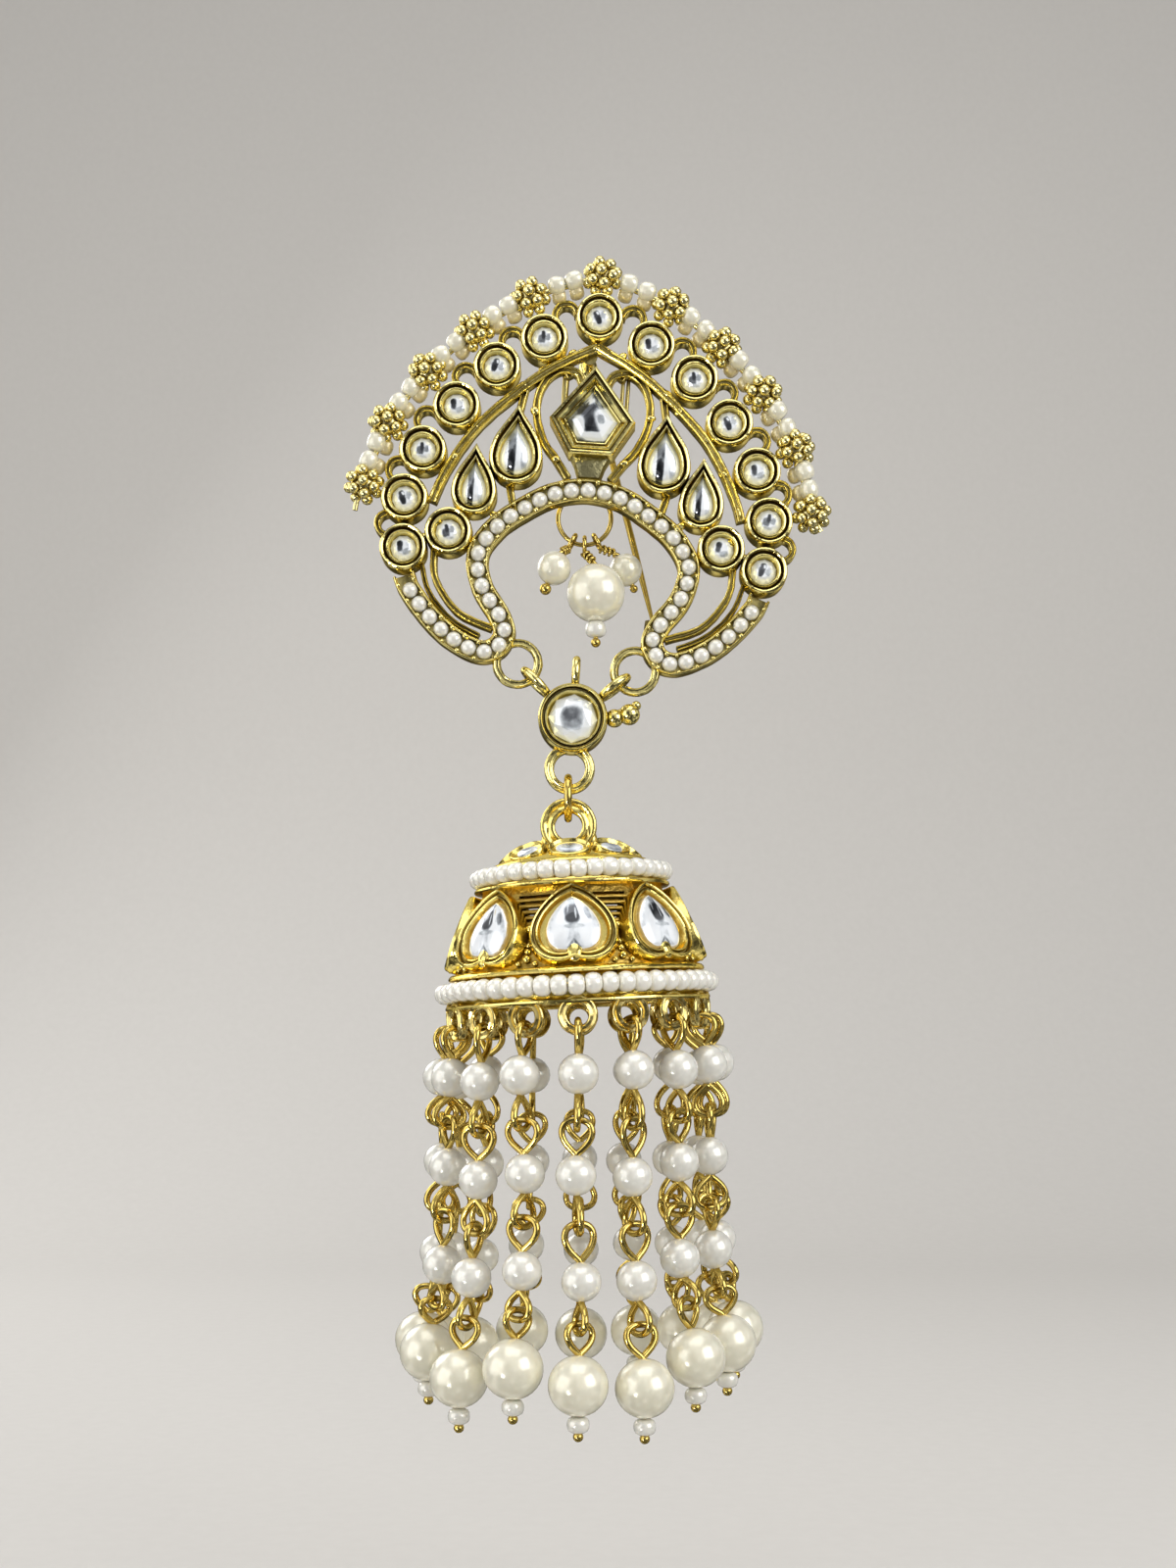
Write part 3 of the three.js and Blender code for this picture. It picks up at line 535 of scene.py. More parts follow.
def domed_stone(name, outline, girdle_inset, reach, low, rise, tone, middle=(0, 0), cuts=1):
    """A smooth stone that rises from its girdle over a dome, which reaches in as far as it is told."""
    turns = [math.radians(turn) for turn in range(0, 90, 8)]
    rows = [(girdle_inset, low - 0.3)] + [
        (girdle_inset + reach * (1 - math.cos(turn)), low + rise * math.sin(turn)) for turn in turns]
    return mesh_from(name, tone_points(finely_cut(stacked(outline, rows, middle=middle), cuts), tone))


pear_shape = bmesh.new()
for row in PEARS:
    stacked(pear(row["width"], row["height"]), deeper(CUP_ROWS, PEAR_DEEPER), pear_shape,
            (row["x"], row["y"]))
fit("pear_cups", uneven(mesh_from("pear_cups", pear_shape, HEAD)), "head", "antique_gold", "head_frame",
    material=antique_gold)

for row in PEARS:
    def pear_tone(point, row=row):
        """The tone of a point, with the patches stretched to the size of this stone."""
        local = flat(2 * (point.x - row["x"]) / (row["width"] - 2 * PEAR_STONE["inset"]),
                     (point.y - row["y"]) / row["height"])
        return painted(local, PEAR_STONE["ground"], PEAR_PATCHES)

    reach = row["width"] / 2 - PEAR_STONE["inset"] - PEAR_STONE["table"]
    stone = domed_stone(
        "pear_stone", pear(row["width"], row["height"]), PEAR_STONE["inset"], reach, PEAR_STONE["girdle"],
        PEAR_STONE["rise"], pear_tone, (row["x"], row["y"]))
    stone.transform(HEAD)
    fit(row["node"] + "_cut", stone, "head", "crystal", row["node"], material=crystal)

# ---- Kite cup and the centre stone ----------------------------------------------------------
# The middle of the head is a deep five-sided cup with two rims, cast in brass and plated.
# A clear stone, cut to the same five sides over foil, sits low inside it, with painted dark and white
# reflections.

KITE_CORNERS = [(0, 5.0), (-4.4, -0.55), (-2.25, -4.1), (2.25, -4.1), (4.4, -0.55)]
KITE_MIDDLE = -0.2
KITE_INRADIUS = 3.4
KITE_ROWS = [
    (0.1, 0.0), (0.0, 0.1), (0.0, 2.8), (0.08, 2.97), (0.22, 3.0), (0.32, 2.92), (0.36, 2.6), (0.4, 2.45),
    (0.5, 2.45), (0.54, 2.62), (0.62, 2.72), (0.74, 2.72), (0.82, 2.6), (0.92, 2.35), (1.12, 2.1),
    (1.17, 2.18), (1.25, 2.14), (1.4, 1.75), (1.5, 1.5)]
KITE_STONE_ROWS = [(1.42, 1.3), (1.42, 1.75), (1.75, 2.05), (2.2, 2.3), (2.6, 2.4)]
# Painted reflections: white facets on a dark ground, with a grey spot in the largest.
KITE_GROUND = 0.22
KITE_PATCHES = [
    (0.3, -2.0, 1.4, 0.4, 0, 0.72), (-1.36, -1.05, 0.55, 1.05, 8, 0.78), (1.45, -0.35, 1.1, 1.35, 20, 0.8),
    (-0.37, 1.8, 0.36, 0.55, 20, 0.78), (0.86, -0.3, 0.4, 0.55, 15, 0.42), (-0.25, -0.8, 0.3, 0.7, -8, 0.04),
    (0.6, 1.4, 0.3, 0.4, 0, 0.45), (-2.0, 0.4, 0.3, 0.8, -30, 0.4)]


def kite(inset):
    """The five-sided outline, drawn in evenly towards its middle."""
    share = 1 - inset / KITE_INRADIUS
    return [(x * share, KITE_MIDDLE + (y - KITE_MIDDLE) * share) for x, y in KITE_CORNERS]


fit("kite_cup", mesh_from("kite_cup", stacked(kite, KITE_ROWS), HEAD, crease=25), "head", "antique_gold",
    "head_frame", material=antique_gold)
kite_stone = tone_points(
    finely_cut(stacked(kite, KITE_STONE_ROWS), cuts=6),
    lambda point: painted(point, KITE_GROUND, KITE_PATCHES))
fit("centre_stone_cut", mesh_from("centre_stone", kite_stone, HEAD, crease=5), "head", "crystal",
    "centre_stone", material=crystal)

# ---- Bars of the head -----------------------------------------------------------------------
# Cast bars with two ridges carry the cups: the arch over the pears, the heart round the centre stone,
# the scallops outside, the slots of the horns and the two hanging loops. Drops of solder join them.

ARCH_ROUTE = [
    (0, 7.35), (4.2, 5.1), (7.5, 2.6), (11.4, -1.15), (13.4, -4.0), (15.2, -7.55), (15.9, -9.6)]
HEART_ROUTE = [
    (1.3, 3.6), (1.75, 4.5), (2.7, 4.9), (3.85, 4.75), (5.06, 3.7), (5.8, 1.8), (5.7, -0.4), (4.7, -2.9),
    (3.5, -4.4), (2.2, -6.2)]
SLOT_ROUTE = [(15.4, -14.4), (15.2, -17.0), (14.0, -19.2), (12.3, -20.9), (8.9, -22.2)]
OUTER_SLOT_ROUTE = [(16.6, -16.0), (15.9, -18.3), (14.6, -20.2), (12.6, -21.9), (10.2, -23.0)]
# The middles of the outer row of cups, from the top down the right.
CUP_ROW = [
    (0, 10.25), (5.5, 7.75), (10.15, 4.55), (14.0, 0.25), (17.15, -4.5), (18.7, -9.55), (18.5, -14.65)]
SCALLOP = {"outward": 1.65, "radius": 1.15, "half_turn": 110}
STRUT_ROUTES = [[(7.6, 0.2), (7.1, 2.9)], [(8.2, -7.0), (7.4, -10.2)], [(3.2, 5.4), (2.6, 4.2)]]
HANGING_LOOP = {"x": 6.05, "y": -25.65, "radius": 2.15, "out": 1.2, "half": 0.45, "groove": 0.3}
# Upright wires behind the heart: how far right, and half how thick.
STAYS = [(-3.05, 0.34), (2.85, 0.2), (3.4, 0.2)]
STAY_HEIGHTS = (4.5, 2.0, -0.5)
# The plate under the kite: corners, the middle that its layers draw in to, and how far each is in and out.
PLATE_CORNERS = [(2.15, -3.9), (1.6, -4.9), (1.15, -6.3), (-1.15, -6.3), (-1.6, -4.9), (-2.15, -3.9)]
PLATE_MIDDLE = (0, -4.8)
PLATE_ROWS = [(0, 0.1), (0, 1.3), (0.12, 1.75), (0.4, 1.9)]
# Drops of solder on the right side. Each has its like on the left.
SOLDER = [
    (0.2, 7.2), (2.6, 6.5), (5.3, 4.6), (7.4, 3.0), (8.9, 1.3), (11.9, -1.5), (13.9, -4.9), (15.6, -8.8),
    (4.2, 4.9), (5.9, 0.4), (3.6, -4.4), (14.9, -12.0), (16.3, -13.4), (9.6, -10.6), (8.3, -1.2)]


def smooth_route(rows, steps=6):
    """Points of a smooth curve through rows of numbers, with its knots spaced by the roots of the gaps."""
    ends = [flat(*row) for row in rows]
    knots = [2 * ends[0] - ends[1], *ends, 2 * ends[-1] - ends[-2]]
    route = []
    for a, b, c, d in zip(knots, knots[1:], knots[2:], knots[3:]):
        one = math.sqrt((b - a).length)
        two = one + math.sqrt((c - b).length)
        three = two + math.sqrt((d - c).length)
        for i in range(steps):
            t = one + (two - one) * i / steps
            ab = a.lerp(b, t / one)
            bc = b.lerp(c, (t - one) / (two - one))
            cd = c.lerp(d, (t - two) / (three - two))
            before, after = ab.lerp(bc, t / two), bc.lerp(cd, (t - one) / (three - one))
            route.append(before.lerp(after, (t - one) / (two - one)))
    return [*route, ends[-1]]


def ring_route(middle, radius, count, across=(1, 0, 0), up=(0, 1, 0)):
    """A closed round route."""
    turns = [2 * math.pi * i / count for i in range(count)]
    return [
        Vector(middle) + radius * (math.cos(turn) * Vector(across) + math.sin(turn) * Vector(up))
        for turn in turns]


def arc_route(middle, radius, start, end, count):
    """An open round route from one angle to another, in degrees."""
    turns = [math.radians(start + (end - start) * i / (count - 1)) for i in range(count)]
    return [flat(middle[0] + radius * math.cos(t), middle[1] + radius * math.sin(t)) for t in turns]


def both_sides(routes):
    """The routes of the right side, and their mirror images on the left."""
    return routes + [[Vector((-x, y, z)) for x, y, z in route] for route in routes]


def route_mesh(routes, closed=False, halves=None):
    """Edges along each route, with the half width of the wire at each point."""
    points, edges, widths = [], [], []
    for k, route in enumerate(routes):
        start, count = len(points), len(route)
        points += route
        edges += [(start + i, start + i + 1) for i in range(count - 1)]
        if closed:
            edges.append((start + count - 1, start))
        half = halves[k] if halves else 1.0
        widths += half if isinstance(half, list) else [half] * count
    mesh = bpy.data.meshes.new("routes")
    mesh.from_pydata(points, edges, [])
    mesh.attributes.new("half", "FLOAT", "POINT").data.foreach_set("value", widths)
    return mesh


def sweep_tree():
    """One flat section along every route of the plan."""
    graph, (route, section, material) = new_tree(
        "sweep_section", ("Route", "Geometry"), ("Section", "Object"), ("Material", "Material"))
    held = graph.node("GeometryNodeObjectInfo", {}, section, out="Geometry")
    profile = graph.node("GeometryNodeMeshToCurve", {}, held)
    path = graph.node("GeometryNodeMeshToCurve", {}, route)
    upright = graph.node("GeometryNodeSetCurveNormal", {"mode": "Z_UP"}, path)
    swept = graph.node("GeometryNodeCurveToMesh", {}, upright, Profile_Curve=profile, Fill_Caps=True)
    return close_tree(graph, swept, material)


def wire_tree():
    """Round wire along every route, as thick as the route's points say."""
    graph, (route, sides, material) = new_tree(
        "draw_wire", ("Route", "Geometry"), ("Sides", "Int"), ("Material", "Material"))
    path = graph.node("GeometryNodeMeshToCurve", {}, route)
    round_section = graph.node("GeometryNodeCurvePrimitiveCircle", {}, sides, Radius=1.0)
    half = graph.node("GeometryNodeInputNamedAttribute", {"data_type": "FLOAT"}, "half")
    drawn_wire = graph.node(
        "GeometryNodeCurveToMesh", {}, path, Profile_Curve=round_section, Scale=half, Fill_Caps=True)
    return close_tree(graph, drawn_wire, material)


sweep_section = sweep_tree()
draw_wire = wire_tree()


def turned_out(mesh, crease=38):
    """The same mesh with its faces turned outwards and shaded."""
    shape = bmesh.new()
    shape.from_mesh(mesh)
    bmesh.ops.recalc_face_normals(shape, faces=shape.faces)
    shape.to_mesh(mesh)
    shape.free()
    return smoothed(mesh, crease)


def bars(routes, section, closed=False):
    """Bars of one section; the section is rows of how far across and how far out."""
    profile = bpy.data.meshes.new("section")
    count = len(section)
    profile.from_pydata(
        [(-across, -out, 0) for across, out in section], [(i, (i + 1) % count) for i in range(count)], [])
    base = route_mesh(routes, closed)
    return turned_out(grown(sweep_section, base, Section=pattern(profile), Material=antique_gold), 50)


def wires(routes, halves, material, sides=10, closed=False):
    """Round wires, with one half width for each route, or one for each of its points."""
    return turned_out(
        grown(draw_wire, route_mesh(routes, closed, halves), Sides=sides, Material=material), 65)


def ridged(half, back, front, dip=0.3):
    """A bar's section: flat behind, with two rounded ridges in front."""
    right = [
        (0.9 * half, back), (half, back + 0.15), (half, front - 0.28), (0.86 * half, front - 0.06),
        (0.62 * half, front), (0.36 * half, front - 0.09), (0.14 * half, front - dip)]
    return right + [(-across, out) for across, out in reversed(right)]


def granule(radius, sides=10, rows=6):
    """A small ball with its poles up and down."""
    shape = bmesh.new()
    bmesh.ops.create_uvsphere(shape, u_segments=sides, v_segments=rows, radius=radius)
    return mesh_from("granule", shape, crease=180)


def scallop_routes():
    """Small arches that stand outside the cups, one between each two neighbours."""
    routes = []
    for (x, y), (next_x, next_y) in zip(CUP_ROW, CUP_ROW[1:]):
        along = flat(next_x - x, next_y - y).normalized()
        outward = math.degrees(math.atan2(along.x, -along.y))
        middle = ((x + next_x) / 2 - along.y * SCALLOP["outward"],
                  (y + next_y) / 2 + along.x * SCALLOP["outward"])
        half = SCALLOP["half_turn"]
        routes.append(arc_route(middle, SCALLOP["radius"], outward - half, outward + half, 15))
    return routes


def loop_section():
    """The section of a hanging loop: round, with a groove along its front."""
    section, half = [], HANGING_LOOP["half"]
    for turn in range(0, 360, 30):
        angle = math.radians(turn)
        deep = HANGING_LOOP["groove"] if turn == 180 else half
        section.append((half * math.sin(angle), HANGING_LOOP["out"] - deep * math.cos(angle)))
    return section


loop_ring = ring_route((HANGING_LOOP["x"], HANGING_LOOP["y"], 0), HANGING_LOOP["radius"], 32)
random.seed(4)
solder_seats = [
    Matrix.Translation((side * x + random.uniform(-0.12, 0.12), y, random.uniform(1.35, 1.6)))
    @ Matrix.Rotation(random.uniform(0, 3), 4, "Z")
    @ Matrix.Diagonal((random.uniform(0.4, 0.7), random.uniform(0.3, 0.45), random.uniform(0.25, 0.4), 1))
    for x, y in SOLDER for side in (1, -1)]
stay_routes = [[flat(x, y, 0.5) for y in STAY_HEIGHTS] for x, half in STAYS]
head_bars = joined("head_bars", [
    bars(both_sides([smooth_route(ARCH_ROUTE)]), ridged(0.47, 0.3, 1.95)),
    bars(both_sides([smooth_route(HEART_ROUTE)]), ridged(0.42, 0.35, 1.6)),
    bars(both_sides([smooth_route(SLOT_ROUTE)]), ridged(0.36, 0.0, 1.65)),
    bars(both_sides([smooth_route(OUTER_SLOT_ROUTE)]), ridged(0.26, 0.0, 1.5)),
    bars(both_sides(scallop_routes()), ridged(0.34, 0.0, 1.75)),
    bars(both_sides([[flat(*point) for point in route] for route in STRUT_ROUTES]), ridged(0.4, 0.2, 1.4)),
    bars(both_sides([loop_ring]), loop_section(), closed=True),
    wires(stay_routes, [half for x, half in STAYS], antique_gold),
    repeated(granule(1.0, 12, 8), solder_seats, antique_gold),
], HEAD)
fit("head_bars", uneven(head_bars, 0.7, 0.05), "head", "antique_gold", "head_frame", material=antique_gold)

dull_brass = gold_finish("dull_brass", (0.46, 0.42, 0.22), (0.08, 0.07, 0.03), 1.2, 0.38, 1.0, (0.1, 0.9))
plate_shape = skin(bmesh.new(), [
    [flat(*corner).lerp(flat(*PLATE_MIDDLE), tight) + flat(0, 0, out) for corner in PLATE_CORNERS]
    for tight, out in PLATE_ROWS])
fit("kite_foot", mesh_from("foot", plate_shape, HEAD), "head", "antique_gold", "head_frame",
    material=dull_brass)

# ---- Channel of the half pearls -------------------------------------------------------------
# A trough between two thin rails runs down both horns and round under the middle.
# Small grains raised from the rails hold the pearls, and the floor is darkened with painted shade that also
# stands for patina.

BAND_ROUTE = [
    (0, -7.4), (3.4, -8.0), (6.4, -9.65), (9.2, -11.85), (10.85, -14.7), (10.2, -18.0), (8.2, -20.95),
    (7.6, -22.6), (8.25, -24.1), (9.85, -24.7), (13.0, -23.45), (15.6, -21.25), (17.85, -18.4),
    (18.3, -17.3)]
HALF_PEARL_COUNT = 43
HALF_PEARL_RADIUS = 0.82
HALF_PEARL_OUT = 1.32
# One rail from its foot over its top and down into the trough: how far across, and how far out.
RAIL = [
    (1.1, 0.0), (1.15, 0.15), (1.15, 1.62), (1.09, 1.83), (0.99, 1.9), (0.89, 1.82), (0.86, 1.6),
    (0.84, 1.0), (0.6, 0.92)]
GRAIN_SEAT = {"across": 0.86, "out": 1.72}


def spaced(route, count, closed=False, turn_out=(0, 0, 1)):
    """Evenly spaced places along a route, with X along it and Z near the outward direction."""
    points = [*route, route[0]] if closed else route
    lengths = [0.0]
    for a, b in zip(points, points[1:]):
        lengths.append(lengths[-1] + (b - a).length)
    places, k = [], 0
    for i in range(count):
        wanted = lengths[-1] * i / (count if closed else count - 1)
        while k < len(points) - 2 and lengths[k + 1] < wanted:
            k += 1
        along = (points[k + 1] - points[k]).normalized()
        point = points[k].lerp(points[k + 1], (wanted - lengths[k]) / (lengths[k + 1] - lengths[k]))
        across = Vector(turn_out).cross(along).normalized()
        place = Matrix((along, across, along.cross(across))).transposed().to_4x4()
        place.translation = point
        places.append(place)
    return places


band_rows = [(-x, y) for x, y in BAND_ROUTE[:0:-1]] + BAND_ROUTE
band_route = smooth_route(band_rows, steps=8)
channel_section = RAIL + [(-across, out) for across, out in reversed(RAIL)]
pearl_places = spaced(band_route, HALF_PEARL_COUNT + 2)[1:-1]
between = spaced(band_route, 2 * (HALF_PEARL_COUNT + 1) + 1)[1::2]
random.seed(9)
grain_places = [
    place @ Matrix.Translation((random.uniform(-0.06, 0.06), side * GRAIN_SEAT["across"], GRAIN_SEAT["out"]))
    @ Matrix.Scale(size, 4)
    for place in between for side, size in ((1, random.uniform(0.2, 0.3)), (-1, random.uniform(0.2, 0.3)))]
channel = joined("channel", [
    bars([band_route], channel_section),
    repeated(granule(1.0, 8, 6), grain_places, antique_gold),
], HEAD)
fit("pearl_channel", uneven(channel), "head", "antique_gold", "head_frame", material=antique_gold)


def pearl_finish(name, light, shade):
    """Lacquered imitation pearl: a satin body under a clear coat, with a faint cloud in its colour."""
    material, graph, shader = finish(
        name, Coat_Weight=0.7, Coat_Roughness=0.25, Coat_IOR=1.5, IOR=1.6, Subsurface_Weight=0.15,
        Subsurface_Radius=(0.6 * MM, 0.5 * MM, 0.4 * MM), Subsurface_Scale=1.0)
    place = graph.node("ShaderNodeTexCoord", out="Object")
    cloud = graph.node("ShaderNodeTexNoise", {}, place, Scale=1 / (2.4 * MM), Detail=3.0)
    speck = graph.node("ShaderNodeTexNoise", {}, place, Scale=1 / (0.3 * MM), Detail=2.0)
    graph.feed(shader.inputs["Base Color"], graph.node(
        "ShaderNodeMix", {"data_type": "RGBA"}, cloud * 0.75 + speck * 0.25, A=light, B=shade))
    graph.feed(shader.inputs["Metallic"], 0.12 + cloud * 0.16)
    graph.feed(shader.inputs["Roughness"], 0.2 + cloud * 0.08)
    graph.feed(shader.inputs["Normal"], graph.node(
        "ShaderNodeBump", {}, Strength=0.06, Distance=0.05 * MM, Height=cloud))
    return material


white_pearl = pearl_finish("white_pearl", (0.95, 0.94, 0.89), (0.80, 0.78, 0.69))
half_pearl_places = [
    HEAD @ place @ Matrix.Translation((0, 0, HALF_PEARL_OUT)) @ Matrix.Scale(random.uniform(0.96, 1.02), 4)
    for place in pearl_places]
half_pearl = granule(HALF_PEARL_RADIUS, 20, 12)
fit("half_pearls", repeated(half_pearl, half_pearl_places, white_pearl), "head", "white_pearl",
    "half_pearl_row")

# ---- Flowers and seed pearls of the rim -----------------------------------------------------
# Eleven flowers, each of fifteen gold granules soldered on a core, are threaded on one wire round the head.
# Two ivory seed pearls sit outside the wire between neighbours, and smaller ones behind them, painted
# yellower and darker as shade and reflected gold.

FLOWERS = [(0, 14.8), (7.3, 12.2), (12.8, 8.3), (17.3, 3.8), (21.0, -1.7), (23.05, -8.2)]
RIM_OUT = 1.2
FLOWER_RADIUS = 1.58
GRANULE = 0.6
RIM_SEED = {"radius": 0.95, "length": 1.8, "plump": 0.75}
# Granules in each layer of a flower, how far the layer lies from the front in degrees, and its turn.
FLOWER_LAYERS = [(1, 0, 0), (6, 50, 0), (8, 100, 0.4)]


def turned(rows, sides, closed=False, place=None):
    """A piece turned about X, from rows of radius and place along it."""
    shape = bmesh.new()
    rings = []
    for radius, along in rows:
        turns = [2 * math.pi * i / sides for i in range(sides)]
        ring = [Vector((along, radius * math.cos(turn), radius * math.sin(turn))) for turn in turns]
        rings.append([place @ point for point in ring] if place else ring)
    if not closed:
        return skin(shape, rings)
    return skin(shape, [*rings, rings[0]], capped=False)


def seed_bead(radius, length, sides=12, hole=0.3, plump=0.6):
    """A short pearl with its thread hole along X."""
    rows = []
    for i in range(7):
        turn = math.pi * (0.08 + 0.84 * i / 6)
        rows.append((hole + (radius - hole) * math.sin(turn) ** plump, -0.5 * length * math.cos(turn)))
    return mesh_from("seed_bead", turned(rows, sides), crease=80)


flower_points = [flat(x, y, RIM_OUT) for x, y in [(-x, y) for x, y in FLOWERS[:0:-1]] + FLOWERS]
random.seed(12)
flower_granules, flower_cores, rim_seeds, inner_seeds = [], [], [], []
for point in flower_points:
    tilt = Matrix.Rotation(random.uniform(-0.16, 0.16), 4, "X") @ Matrix.Rotation(
        random.uniform(-0.16, 0.16), 4, "Y")
    spin = random.uniform(0, 1.0)
    seat = Matrix.Translation(point) @ tilt
    flower_cores.append(HEAD @ seat @ Matrix.Diagonal((1.35, 1.35, 1.0, 1)))
    for count, fall, shift in FLOWER_LAYERS:
        for i in range(count):
            turn = spin + shift + 2 * math.pi * i / count
            fall_angle = math.radians(fall)
            way = Vector((math.sin(fall_angle) * math.cos(turn), math.sin(fall_angle) * math.sin(turn),
                          0.85 * math.cos(fall_angle)))
            flower_granules.append(HEAD @ seat @ Matrix.Translation(FLOWER_RADIUS * way) @ Matrix.Scale(
                GRANULE * random.uniform(0.94, 1.03), 4))
for point, following in zip(flower_points, flower_points[1:]):
    along = (following - point).normalized()
    outward = flat(-along.y, along.x)
    middle = (point + following) / 2
    for side in (-1, 1):
        for row, across, out, size in ((rim_seeds, 0.35, 0.2, 1.02), (inner_seeds, -0.6, -0.6, 0.85)):
            place = Matrix((along, outward, along.cross(outward))).transposed().to_4x4()
            place.translation = middle + side * random.uniform(0.92, 1.1) * along + across * outward + flat(
                0, 0, out + random.uniform(-0.12, 0.12))
            tilted = Matrix.Rotation(random.uniform(-0.25, 0.25), 4, "Z")
            row.append(HEAD @ place @ tilted @ Matrix.Scale(size * random.uniform(0.95, 1.04), 4))
# The cut ends of the wire stand out beyond the last flower on each side.
left_end, right_end = flower_points[0], flower_points[-1]
end_routes = [
    [left_end, left_end + flat(-0.55, -1.3), left_end + flat(-0.75, -2.75, -0.1)],
    [right_end, right_end + flat(0.7, -1.1), right_end + flat(1.15, -1.75, -0.1)]]
cream_pearl = pearl_finish("ivory_pearl", (0.95, 0.92, 0.78), (0.83, 0.79, 0.61))
flower_gold = gold_finish(
    "flower_gold", (0.97, 0.85, 0.40), (0.20, 0.13, 0.03), 0.7, 0.24, 0.15, (0.05, 0.5))
seed = seed_bead(**RIM_SEED)
# The seeds behind are painted yellow and dark: painted shade and painted reflection of the gold round them.
yellowed_pearl = pearl_finish("yellowed_pearl", (0.93, 0.84, 0.56), (0.80, 0.66, 0.34))
rim_flowers = joined("rim_flowers", [
    repeated(granule(1.0), flower_granules, flower_gold),
    repeated(granule(1.0, 16, 10), flower_cores, flower_gold),
    wires([[HEAD @ point for point in route] for route in [flower_points, *end_routes]],
          [0.28 * MM, 0.26 * MM, 0.26 * MM], flower_gold),
])
fit("rim_flowers", rim_flowers, "head", "antique_gold", "rim_bead_row", material=flower_gold)
fit("rim_seeds", repeated(seed, rim_seeds, cream_pearl), "head", "cream_pearl", "rim_bead_row")
fit("rim_inner_seeds", repeated(seed, inner_seeds, yellowed_pearl), "head", "cream_pearl", "rim_bead_row")

# ---- Hair pin, socket and catch -------------------------------------------------------------
# A sprung steel pin, plated yellow, runs down behind the head from a socket to a bent catch.
# Its post is soldered to the arch, and the catch to the right horn.

PIN = {"top": (-0.9, 7.0), "tip": (8.3, -21.35), "stand": 3.9}
# Half the pin's width at shares of its length: even at first, then drawn down to the point.
PIN_ROWS = [
    (0, 0.35), (0.5, 0.35), (0.68, 0.35), (0.78, 0.31), (0.86, 0.25), (0.93, 0.19), (0.97, 0.15),
    (0.99, 0.1), (1.0, 0.03)]
# Radius and place along the pin: the outside of the socket, its lip, and the hole that the pin sits in.
SOCKET_ROWS = [
    (0.02, 0.0), (0.7, 0.0), (0.9, 0.12), (0.95, 0.3), (0.95, 1.8), (1.02, 2.0), (1.02, 2.3), (0.94, 2.4),
    (0.72, 2.4), (0.65, 2.3), (0.65, 0.45), (0.02, 0.4)]
# How far out, and half how thick, the post is from the arch to the socket.
POST_ROWS = [(0.9, 0.8), (0.3, 0.55), (-0.6, 0.45), (-2.6, 0.5), (-3.25, 0.7)]
# The strip of the catch, from its foot round the bend that holds the pin; then its layers.
CATCH_ROUTE = [
    (-0.9, -0.4), (-0.9, 0.5), (-0.9, 4.3), (-0.72, 4.66), (-0.4, 4.8), (0.4, 4.8), (0.72, 4.66),
    (0.88, 4.4), (0.94, 4.05)]
CATCH_ROWS = [(0.2, 0), (0.25, 0.06), (0.25, 1.24), (0.2, 1.3)]
wire_gold = gold_finish("wire_gold", (0.74, 0.55, 0.15), (0.10, 0.055, 0.01), 1.1, 0.17, 0.12, (0.2, 0.85))
pin_start, pin_end = flat(*PIN["top"], -PIN["stand"]), flat(*PIN["tip"], -PIN["stand"])
pin_along = (pin_end - pin_start).normalized()
pin_length = (pin_end - pin_start).length
pin_route = [HEAD @ (pin_start + pin_along * pin_length * share) for share, half in PIN_ROWS]
fit("pin_wire", wires([pin_route], [[half * MM for share, half in PIN_ROWS]], wire_gold, 14),
    "head", "antique_gold", "hair_pin", material=wire_gold)

pin_across = Vector((0, 0, -1)).cross(pin_along)
pin_place = Matrix((pin_along, pin_across, pin_along.cross(pin_across))).transposed().to_4x4()
pin_place.translation = pin_start - 0.7 * pin_along
socket_shape = turned(SOCKET_ROWS, 28, place=pin_place)
post_at = pin_start + 0.5 * pin_along
post_route = [flat(post_at.x, post_at.y, out) for out, half in POST_ROWS]


def ribbon(route, half):
    """The closed outline of a band on both sides of a flat route."""
    sides = ([], [])
    for i, point in enumerate(route):
        along = (route[min(i + 1, len(route) - 1)] - route[max(i - 1, 0)]).normalized()
        for side, sign in zip(sides, (1, -1)):
            side.append(point + sign * half * flat(-along.y, along.x))
    return sides[0] + sides[1][::-1]


catch_rings = [
    [point + flat(0, 0, depth) for point in ribbon([flat(*row) for row in CATCH_ROUTE], half)]
    for half, depth in CATCH_ROWS]
catch_place = Matrix((pin_across * -1, Vector((0, 0, -1)), pin_along)).transposed().to_4x4()
catch_foot = pin_end - 1.6 * pin_along
catch_place.translation = flat(catch_foot.x, catch_foot.y)
pin_fixing = joined("pin_fixing", [
    mesh_from("socket", socket_shape),
    wires([post_route], [[half for out, half in POST_ROWS]], antique_gold, 14),
    mesh_from("catch", skin(bmesh.new(), catch_rings), catch_place),
], HEAD)
fit("pin_fixing", pin_fixing, "head", "antique_gold", "head_frame", material=antique_gold)

# ---- Pearl cluster --------------------------------------------------------------------------
# Three ivory pearls on headpins hang from a wire ring under the middle of the head.
# Each headpin ends in a ball below, and is wound three times round its own neck above.

UPRIGHT = FACING @ Matrix.Scale(MM, 4)
# The ring's middle, radius and half thickness, then the radius and half thickness of the eyes on it.
CLUSTER = {"middle": (-0.85, -9.7, -0.7), "radius": 2.75, "half": 0.24, "eye": 0.8, "wire": 0.22}
HOOK = {"radius": 0.95, "half": 0.26}
WINDING = {"radius": 0.36, "turns": 3, "half": 0.16}
# A seed pearl's length, and how far its middle is from the pearl above, in radii of the seed pearl.
SEED_LENGTH, SEED_FALL = 1.45, 0.66
